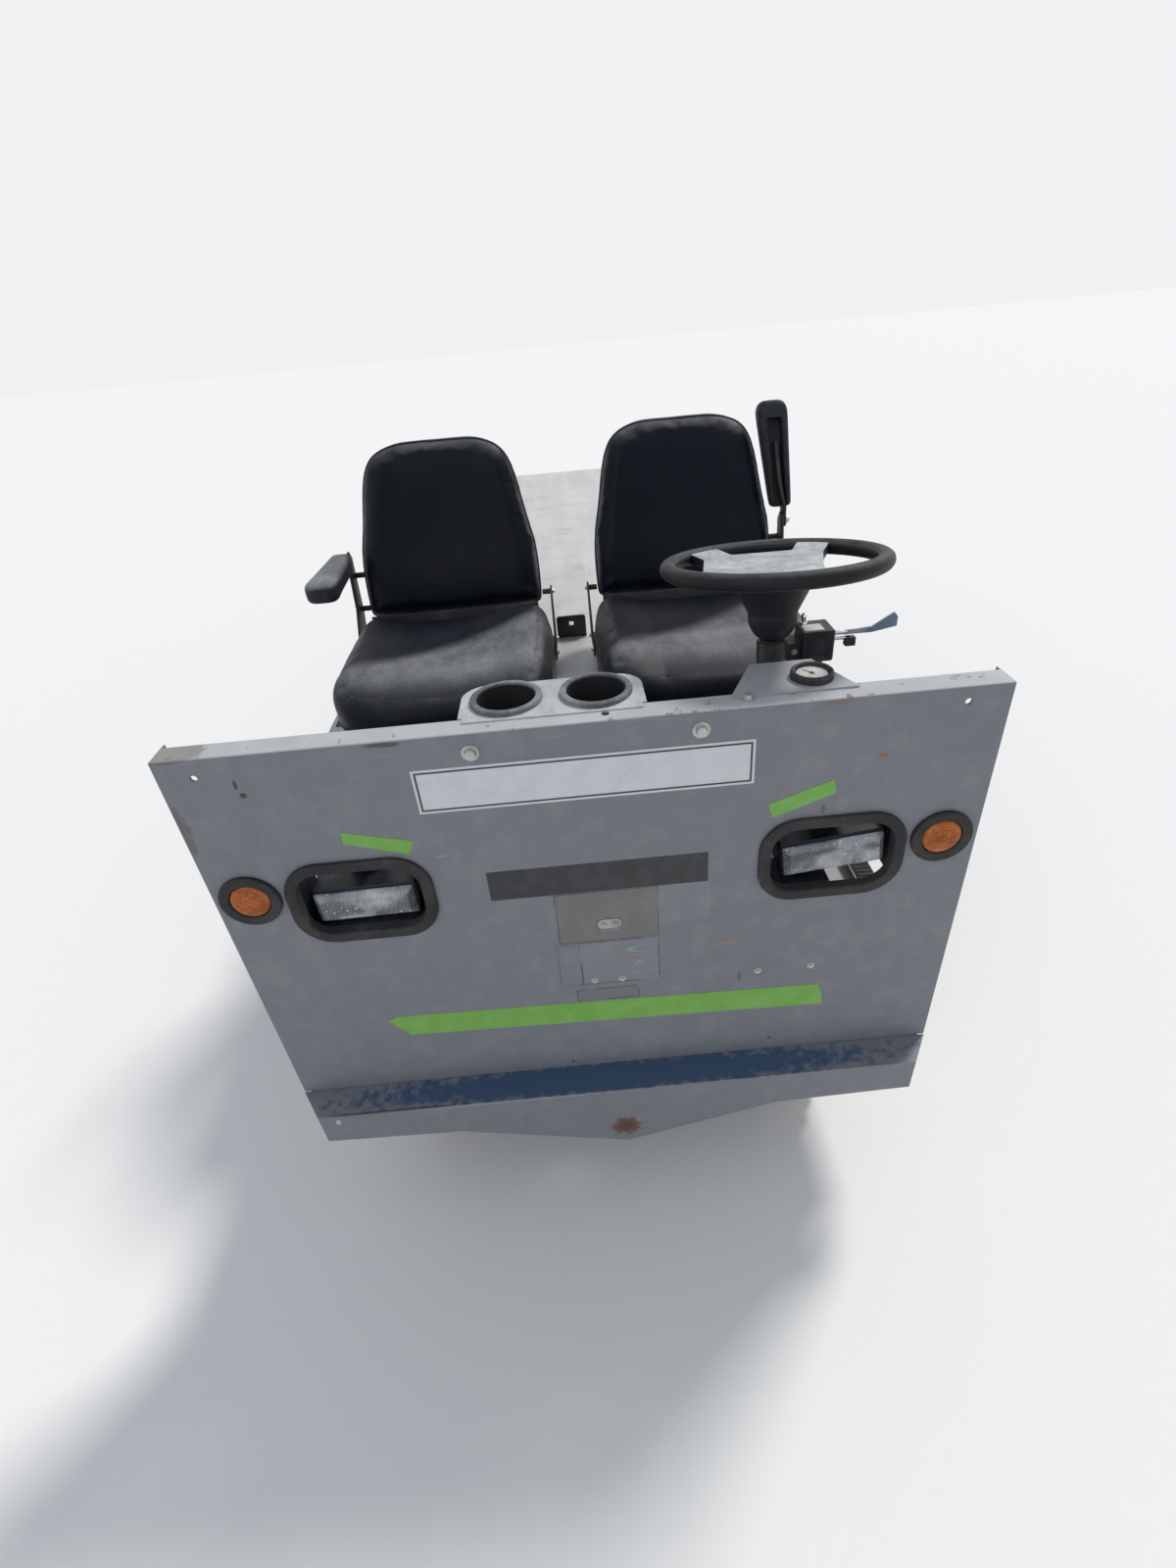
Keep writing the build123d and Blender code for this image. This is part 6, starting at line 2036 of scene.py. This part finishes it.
@dataclass
class SeatFrames:
    """Runners, pans and recliner brackets of both seats; the inner brackets end low behind the cushions."""

    middle: float = 300.0
    bracket: float = 254.0
    sheet: float = 5.0
    outer: tuple[tuple[float, float], ...] = (
        (860, 823), (1000, 823), (1040, 936), (1054, 1075),
        (1038, 1095), (1012, 1089), (985, 961), (930, 879),
    )
    inner: tuple[tuple[float, float], ...] = (
        (860, 823), (1000, 823), (1036, 924), (1043, 950),
        (1034, 962), (1016, 960), (984, 940), (930, 879),
    )
    pins: tuple[tuple[float, float], ...] = ((1031.8, 946.6), (1050.9, 1029.4))
    pivot: tuple[float, float] = (1030.0, 1075.0)

    def bracket_plate(self, name: str, x: float, outline: Sequence[tuple[float, float]]) -> None:
        """Build one recliner bracket.

        Args:
            name: Its name.
            x: Where its lower face lies across.
            outline: Its corners as (y, z).
        """
        place = Matrix(((0, 0, 1, x * MM), (1, 0, 0, panel_face()), (0, 1, 0, 0), (0, 0, 0, 1)))
        corners = [(y * MM, z * MM) for y, z in outline]
        plate = add_piece(name, slab(corners, place, self.sheet * MM), Finishes.frame, Body.LID)
        soften(plate, 0.001)
        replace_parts(plate, "seat_frames")

    def build(self) -> None:
        """Build both frames."""
        for side in Side:
            name, middle, sign = "seat_frame_" + side.name.lower(), side.value * self.middle, side.value
            parts = [((middle - 249, 593, 831), (middle + 249, 1000, 835))]
            for x in (middle - 150, middle + 150):
                parts.append(((x - 20, 558, 790), (x + 20, 960, 797)))
                parts.append(((x - 13, 566, 797), (x + 13, 952, 831)))
            pan = boxes(name + "_pan", parts, Finishes.frame, Body.LID, 0.001)
            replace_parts(pan, "seat_frames")
            # A black sheet behind the cushion's back edge: painted shade for the gap between cushion and
            # backrest.
            shade_sheet = [((middle - 216, 973, 836), (middle + 216, 978, 941))]
            boxes(name + "_flap", shade_sheet, Finishes.rubber, Body.LID, 0.0015)
            reach = sign * (self.bracket - self.sheet / 2)
            outer, inner = middle + reach, middle - reach
            self.bracket_plate(name + "_outer", outer - self.sheet / 2, self.outer)
            self.bracket_plate(name + "_inner", inner - self.sheet / 2, self.inner)
            rods = [(outer, self.pins[0]), (outer, self.pins[1]), (inner, self.pins[0])]
            for number, (x, spot) in enumerate(rods):
                ends = [at(x, *spot), at(middle + math.copysign(228, x - middle), *spot)]
                rod = add_piece(f"{name}_rod_{number}", tube(ends, 0.007, 18), Finishes.frame, Body.LID)
                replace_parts(rod, "seat_frames")
            pin = tube([at(middle + sign * x, *self.pivot) for x in (253, 270)], 0.006, 20)
            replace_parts(add_piece(name + "_pin", pin, Finishes.steel, Body.LID), "seat_frames")
            bolts = []
            for x, spot in rods + [(x, (y, 836)) for x in (outer, inner) for y in (884, 978)]:
                out = math.copysign(1, x - middle)
                bolts += screws_at([(x + 2.6 * out, *spot)], (out, 0, 0))
            fasteners(name + "_bolts", bolts, 0.0062, Finishes.zinc, Body.LID)
            LOG.info("seat frame %s", side.name.lower())


@dataclass
class Armrests:
    """Two vinyl armrests with a channel for their bent pivot arms."""

    pivot: tuple[float, float] = (1030.0, 1075.0)
    raised: dict[Side, float] = field(default_factory=lambda: {Side.LEFT: 104.0, Side.RIGHT: 0.0})
    bends: dict[Side, tuple[float, float]] = field(
        default_factory=lambda: {Side.LEFT: (-4.0, -27.0), Side.RIGHT: (6.0, 3.0)}
    )
    bracket: float = 554.0
    start: float = 32.0
    reach: float = 276.0
    widths: tuple[float, float] = (50.0, 78.0)
    heights: tuple[float, float] = (-20.0, 30.0)
    channel: float = 14.0

    def centre(self, side: Side, y: float) -> float:
        """How far outboard the pad's middle lies, in millimetres, at a distance before the pivot."""
        root, tip = self.bends[side]
        share = (y - self.start) / (self.reach - self.start)
        return self.bracket + root + (tip - root) * min(1.0, max(0.0, share))

    def place(self, side: Side) -> Matrix:
        """The armrest's own frame at rest: y runs rearward and z up when it is down."""
        return facing(0, *self.pivot, -self.raised[side])

    def pad(self, side: Side) -> None:
        """Build the pad: superelliptic sections, a channel cut from below, and its skin blown up a little."""
        name, place = "armrest_" + side.name.lower(), self.place(side)
        low, high = self.heights
        middle, half = (low + high) / 2, (high - low) / 2 - 0.4
        # place along the pad, and how full its section is in width and in height
        stations = [(0.0, 0.60, 0.66), (0.006, 0.80, 0.84), (0.018, 0.93, 0.95), (0.04, 0.99, 0.99)]
        stations += [(s / 20, 1.0, 1.0) for s in range(2, 18)]
        for turn in range(10, 90, 10):
            angle = math.radians(turn)
            full = math.cos(angle) ** 0.8
            stations.append((0.87 + 0.13 * math.sin(angle), 0.36 + 0.64 * full, 0.45 + 0.55 * full))
        stations.append((1.0, 0.36, 0.45))
        form, rings = bmesh.new(), []
        for share, full, tall in stations:
            y = self.start + (self.reach - self.start) * share
            wide = (self.widths[0] + (self.widths[1] - self.widths[0]) * share) / 2 - 0.4
            ring = []
            for step in range(48):
                angle = 2 * math.pi * step / 48
                c, s = math.cos(angle), math.sin(angle)
                x = self.centre(side, y) + wide * full * math.copysign(abs(c) ** 0.5, c)
                z = middle + half * tall * math.copysign(abs(s) ** 0.5, s)
                crown = 1.5 * (1 - (2 * share - 1) ** 2) if s > 0 else 0.0
                ring.append(place @ (Vector((side.value * x, -y, z - 1.5 + crown)) * MM))
            rings.append(ring)
        add_rings(form, rings)
        pad = add_piece(name + "_skin", form, Finishes.vinyl, Body["ARM_" + side.name], crease=180)
        cutter_form = bmesh.new()
        corners = [(self.start - 30, self.channel), (self.reach - 40, 1.3 * self.channel)]
        rows = []
        ring = [(self.centre(side, y) - w, y) for y, w in corners]
        ring += [(self.centre(side, y) + w, y) for y, w in reversed(corners)]
        for z in (low - 8, low + 25):
            rows.append([place @ (Vector((side.value * x, -y, z)) * MM) for x, y in ring])
        add_rings(cutter_form, rows)
        cutter = add_piece(name + "_cutter", cutter_form, Finishes.vinyl, Body.LID)
        cut = pad.modifiers.new("channel", "BOOLEAN")
        cut.operation, cut.solver, cut.object = "DIFFERENCE", "EXACT", cutter
        settle(pad)
        bpy.data.objects.remove(cutter)
        swell(pad, 0.0012, voxel=0.0034, frames=8)
        up = place.to_3x3() @ Vector((0, 0, 1))
        share = 0.75 * (1.0 if side is Side.RIGHT else 0.55)

        def dust(point: Vector, normal: Vector) -> float:
            return 0.12 + share * smooth_step((normal.dot(up) - 0.1) / 0.7)

        rub(pad, dust)
        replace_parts(pad, name)

    def arm(self, side: Side) -> None:
        """Build the bent pivot arm in the pad's channel, its washer and the nut on the pin."""
        name, place, body = "armrest_" + side.name.lower(), self.place(side), Body["ARM_" + side.name]
        # distance before the pivot, and the arm's lower and upper edge there
        stations = (
            (-16, -8, 6), (-12, -10, 11), (-5, -11.5, 15.5), (2, -12, 17.5), (16, -12, 16.5),
            (32, -19.5, 15.5), (60, -19, 13.5), (100, -18, 10.5), (140, -17, 8), (182, -16, 5),
        )
        form, rings = bmesh.new(), []
        for y, low, high in stations:
            share = smooth_step((y - 14) / 70)
            middle = (self.bracket + 4.3) * (1 - share) + self.centre(side, y) * share
            corners = ((middle - 4, low), (middle + 4, low), (middle + 4, high), (middle - 4, high))
            rings.append([place @ (Vector((side.value * x, -y, z)) * MM) for x, z in corners])
        add_rings(form, rings)
        arm = soften(add_piece(name + "_arm", form, Finishes.frame, body), 0.0012)
        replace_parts(arm, name)
        out = facing(0, *self.pivot, side.value * 90, "Y")
        washer = (
            (0.0066, 0.5622), (0.0066, 0.5648), (0.0078, 0.5652), (0.0108, 0.5652), (0.0115, 0.5646),
            (0.0115, 0.5622),
        )
        add_piece(name + "_washer", hoop(washer, out, 32), Finishes.steel, body)
        nut = ((0.0015, 0.5735), (0.0045, 0.5728), (0.0068, 0.5708), (0.0078, 0.5685), (0.0080, 0.5660))
        add_piece(name + "_nut", turned(nut, out, 30), Finishes.zinc, Body.LID)

    def build(self) -> None:
        """Build both armrests."""
        for side in Side:
            self.pad(side)
            self.arm(side)
            LOG.info("armrest %s", side.name.lower())


@dataclass
class Trim:
    """Fasteners, ribs, straps, bands and blank plates all over the chassis."""

    skirt_label: tuple[float, float, float, float] = (1343.0, 2230.0, 655.0, 755.0)
    springs: tuple[tuple[float, float, float], ...] = ((300.0, 25.0, 32.0), (2450.0, 35.0, 41.0))
    spring_x: float = 215.0
    axle_z: float = 230.0
    motor_x: float = 5.0
    motor_z: float = 245.0

    def labels(self) -> None:
        """Stick the blank labels on the skirts."""
        y0, y1, z0, z1 = self.skirt_label
        for side in Side:
            corners = [((side.value * 594.8, y0, z0), (side.value * 595.6, y1, z1))]
            boxes("skirt_label_" + side.name.lower(), corners, Finishes.label, Body.CHASSIS, 0.0003, 1)

    def screws(self) -> None:
        """Fit the fasteners of the skirts, sills, apron, box, floor, hinges and latch bracket."""
        rows = (
            (771, range(720, 3400, 220)),
            (622, (760, 980, 2760, 3000, 3240, 3380)),
            (492, (90, 230, 370, 500)),
        )
        body = []
        for side in Side:
            body += screws_at(((side.value * 595, y, z) for z, ys in rows for y in ys), (side.value, 0, 0))
        body += screws_at(((x, 3430, 770) for x in range(-540, 541, 180)), (0, 1, 0))
        body += screws_at(((x, 3430, 585) for x in (-540, -300, 300, 540)), (0, 1, 0))
        body += screws_at(((x, 530, z) for x in (-560, -280, 0, 280, 560) for z in (515, 722)), (0, -1, 0))
        body += screws_at((x, y, 486) for x in (-500, -215, 160, 500) for y in (60, 505))
        fasteners("body_screws", body, 0.0060, Finishes.zinc, Body.CHASSIS)
        deck = screws_at((x, y, 793) for x in (-430, -410, 410, 430) for y in (1092, 1113))
        deck += screws_at((x, 1104, 795) for x in (-30, 21))
        fasteners("deck_hinge_screws", deck, 0.0042, Finishes.steel, Body.CHASSIS, sides=12)
        lid = screws_at((side.value * 420 + x, 1043, 793) for side in Side for x in (-42, 0, 42))
        fasteners("lid_hinge_screws", lid, 0.0042, Finishes.steel, Body.LID, sides=12)

    def ribs(self) -> None:
        """Mould the ribs of the step treads and the pedals."""
        steps = screws_at((side.value * 573.5, y, 513.2) for side in Side for y in range(118, 464, 12))
        bars("step_ribs", steps, (0.033, 0.0062, 0.0022), Finishes.rubber, Body.CHASSIS)
        top, back, drop, pads = (150, 580), 120, 84, []
        up = Vector((0, drop, back)).normalized()
        for x in (265, 390):
            for number in range(9):
                share = 0.08 + 0.84 * number / 8
                spot = at(x, top[0] + back * share, top[1] - drop * share) + up * 0.0008
                pads.append(Screw(tuple(spot), tuple(up)))
        bars("pedal_ribs", pads, (0.054, 0.0066, 0.0030), Finishes.rubber, Body.CHASSIS)

    def bolts_of_springs(self) -> None:
        """Hang the axles in U-bolts with their plates and nuts."""
        hoops, plates, nuts = [], [], []
        for axle, radius, leg in self.springs:
            top = self.axle_z + radius + 12 + 32
            for side in Side:
                middle = side.value * self.spring_x
                plates.append(((middle - 38, axle - leg - 12, top), (middle + 38, axle + leg + 12, top + 9)))
                for x in (middle - 28, middle + 28):
                    path = [at(x, axle - leg, top + 20), at(x, axle - leg, 240)]
                    for step in range(1, 12):
                        angle = math.pi * step / 12
                        path.append(at(x, axle - leg * math.cos(angle), 236 - leg * math.sin(angle)))
                    path += [at(x, axle + leg, 240), at(x, axle + leg, top + 20)]
                    hoops.append(path)
                    nuts += screws_at((x, axle + end * leg, top + 10) for end in (-1, 1))
        for number, path in enumerate(hoops):
            add_piece(f"spring_u_bolt_{number}", tube(path, 0.0052, 10), Finishes.spring, Body.CHASSIS)
        boxes("spring_plates", plates, Finishes.frame, Body.CHASSIS, 0.0015)
        fasteners("spring_nuts", nuts, 0.0092, Finishes.zinc, Body.CHASSIS)

    def motor(self) -> None:
        """Fit the bands and end bolts of the motor."""
        section = (
            (0.0915, -0.010), (0.0950, -0.010), (0.0956, -0.009),
            (0.0956, 0.009), (0.0950, 0.010), (0.0915, 0.010),
        )
        for number, y in enumerate((2066, 2290)):
            band = hoop(section, facing(self.motor_x, y, self.motor_z, 90))
            add_piece(f"motor_band_{number}", band, Finishes.spring, Body.CHASSIS)
        turns = [math.radians(60 * number + 30) for number in range(6)]
        spots = [(self.motor_x + 74 * math.cos(a), 2038, self.motor_z + 74 * math.sin(a)) for a in turns]
        fasteners("motor_end_bolts", screws_at(spots, (0, -1, 0)), 0.0055, Finishes.zinc, Body.CHASSIS)

    def build(self) -> None:
        """Fit all of it."""
        self.labels()
        self.screws()
        self.ribs()
        self.bolts_of_springs()
        self.motor()
        LOG.info("trim")


def dress_node(node: str, finish: Finish) -> None:
    """Give a node of the frame its finish."""
    shown = bpy.data.objects[node]
    material = finish.make()
    for slot in shown.material_slots:
        slot.material = material


@dataclass
class Studio:
    """Plain pale floor, soft light and the camera at the photograph's place."""

    camera_place: tuple[float, float, float] = (0.0, -2.6048, 1.5953)
    pitch: float = math.radians(33.516)
    roll: float = math.radians(5.38)
    lens: float = 16.99
    sky: float = 0.55
    key: float = 2.3
    fill: float = 0.5

    def camera(self) -> None:
        """Set the camera."""
        data = bpy.data.cameras.new("camera")
        data.sensor_width = 36.0
        data.lens = self.lens
        data.clip_end = 200.0
        made = bpy.data.objects.new("camera", data)
        bpy.context.scene.collection.objects.link(made)
        across = Vector((1, 0, 0))
        up = Vector((0, math.sin(self.pitch), math.cos(self.pitch)))
        view_x = across * math.cos(self.roll) - up * math.sin(self.roll)
        view_y = across * math.sin(self.roll) + up * math.cos(self.roll)
        turn = Matrix((view_x, view_y, view_x.cross(view_y))).transposed()
        made.matrix_world = Matrix.Translation(self.camera_place) @ turn.to_4x4()
        bpy.context.scene.camera = made

    def sun(self, name: str, place: Sequence[float], strength: float, spread: float, colour: Colour) -> None:
        """Add a soft lamp that is far away and points at the vehicle.

        Args:
            name: Its name.
            place: Where its light comes from.
            strength: Its strength.
            spread: How wide it looks, in degrees.
            colour: Its colour.
        """
        data = bpy.data.lights.new(name, "SUN")
        data.energy = strength
        data.angle = math.radians(spread)
        data.color = colour
        made = bpy.data.objects.new(name, data)
        made.location = place
        made.rotation_euler = (-Vector(place)).to_track_quat("-Z", "Y").to_euler()
        bpy.context.scene.collection.objects.link(made)

    def floor(self) -> None:
        """Lay the wide flat floor."""
        form = bmesh.new()
        corners = [form.verts.new((x * 30.0, y * 30.0, 0.0)) for x, y in ((-1, -1), (1, -1), (1, 1), (-1, 1))]
        form.faces.new(corners)
        mesh = bpy.data.meshes.new("studio_floor")
        form.to_mesh(mesh)
        form.free()
        shader = Shader("studio_floor")
        fine = shader.noise(30.0, 3.0)
        tone = shader.mix(fine * 0.5, (0.79, 0.79, 0.785), (0.82, 0.82, 0.815))
        mesh.materials.append(shader.surface(Base_Color=tone, Roughness=0.9, Specular_IOR_Level=0.1))
        floor = bpy.data.objects.new("studio_floor", mesh)
        bpy.context.scene.collection.objects.link(floor)

    def world(self) -> None:
        """Light the scene from all round and show a white background to the camera, metal and glass."""
        world = bpy.data.worlds.new("studio")
        world.use_nodes = True
        nodes, links = world.node_tree.nodes, world.node_tree.links
        nodes.clear()
        sky, white = nodes.new("ShaderNodeBackground"), nodes.new("ShaderNodeBackground")
        sky.inputs["Color"].default_value = (0.86, 0.91, 1.0, 1.0)
        sky.inputs["Strength"].default_value = self.sky
        white.inputs["Color"].default_value = (0.87, 0.88, 0.90, 1.0)
        rays = nodes.new("ShaderNodeLightPath")
        seen = rays.outputs["Is Camera Ray"]
        for other in ("Is Glossy Ray", "Is Transmission Ray"):
            either = nodes.new("ShaderNodeMath")
            either.operation = "MAXIMUM"
            links.new(seen, either.inputs[0])
            links.new(rays.outputs[other], either.inputs[1])
            seen = either.outputs[0]
        mixed = nodes.new("ShaderNodeMixShader")
        links.new(seen, mixed.inputs[0])
        links.new(sky.outputs[0], mixed.inputs[1])
        links.new(white.outputs[0], mixed.inputs[2])
        links.new(mixed.outputs[0], nodes.new("ShaderNodeOutputWorld").inputs["Surface"])
        bpy.context.scene.world = world

    def build(self) -> None:
        """Set up the studio."""
        self.camera()
        self.floor()
        self.world()
        self.sun("key", (2.6, 2.6, 4.4), self.key, 12.0, (1.0, 0.97, 0.92))
        self.sun("fill", (-2.6, -4.6, 3.4), self.fill, 40.0, (0.93, 0.96, 1.0))
        bpy.context.scene.view_settings.view_transform = "Standard"


def ride_all() -> None:
    """Hand every new piece to the body that it was made for."""
    for piece in list(bpy.context.scene.objects):
        if "rides_on" in piece:
            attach(piece, piece["rides_on"])


def main() -> None:
    """Build the vehicle's looks in order."""
    logging.basicConfig(level=logging.INFO, format="%(name)s: %(message)s")
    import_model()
    Studio().build()
    for finish, nodes in NODE_FINISHES:
        for node in nodes.split():
            dress_node(node, finish)
    FrontPanel.measured().build()
    LOG.info("front panel")
    Lamps().build()
    Controls().build()
    Seats().build()
    SeatFrames().build()
    Armrests().build()
    Wheels().build()
    Trim().build()
    ride_all()


if __name__ == "__main__":
    main()
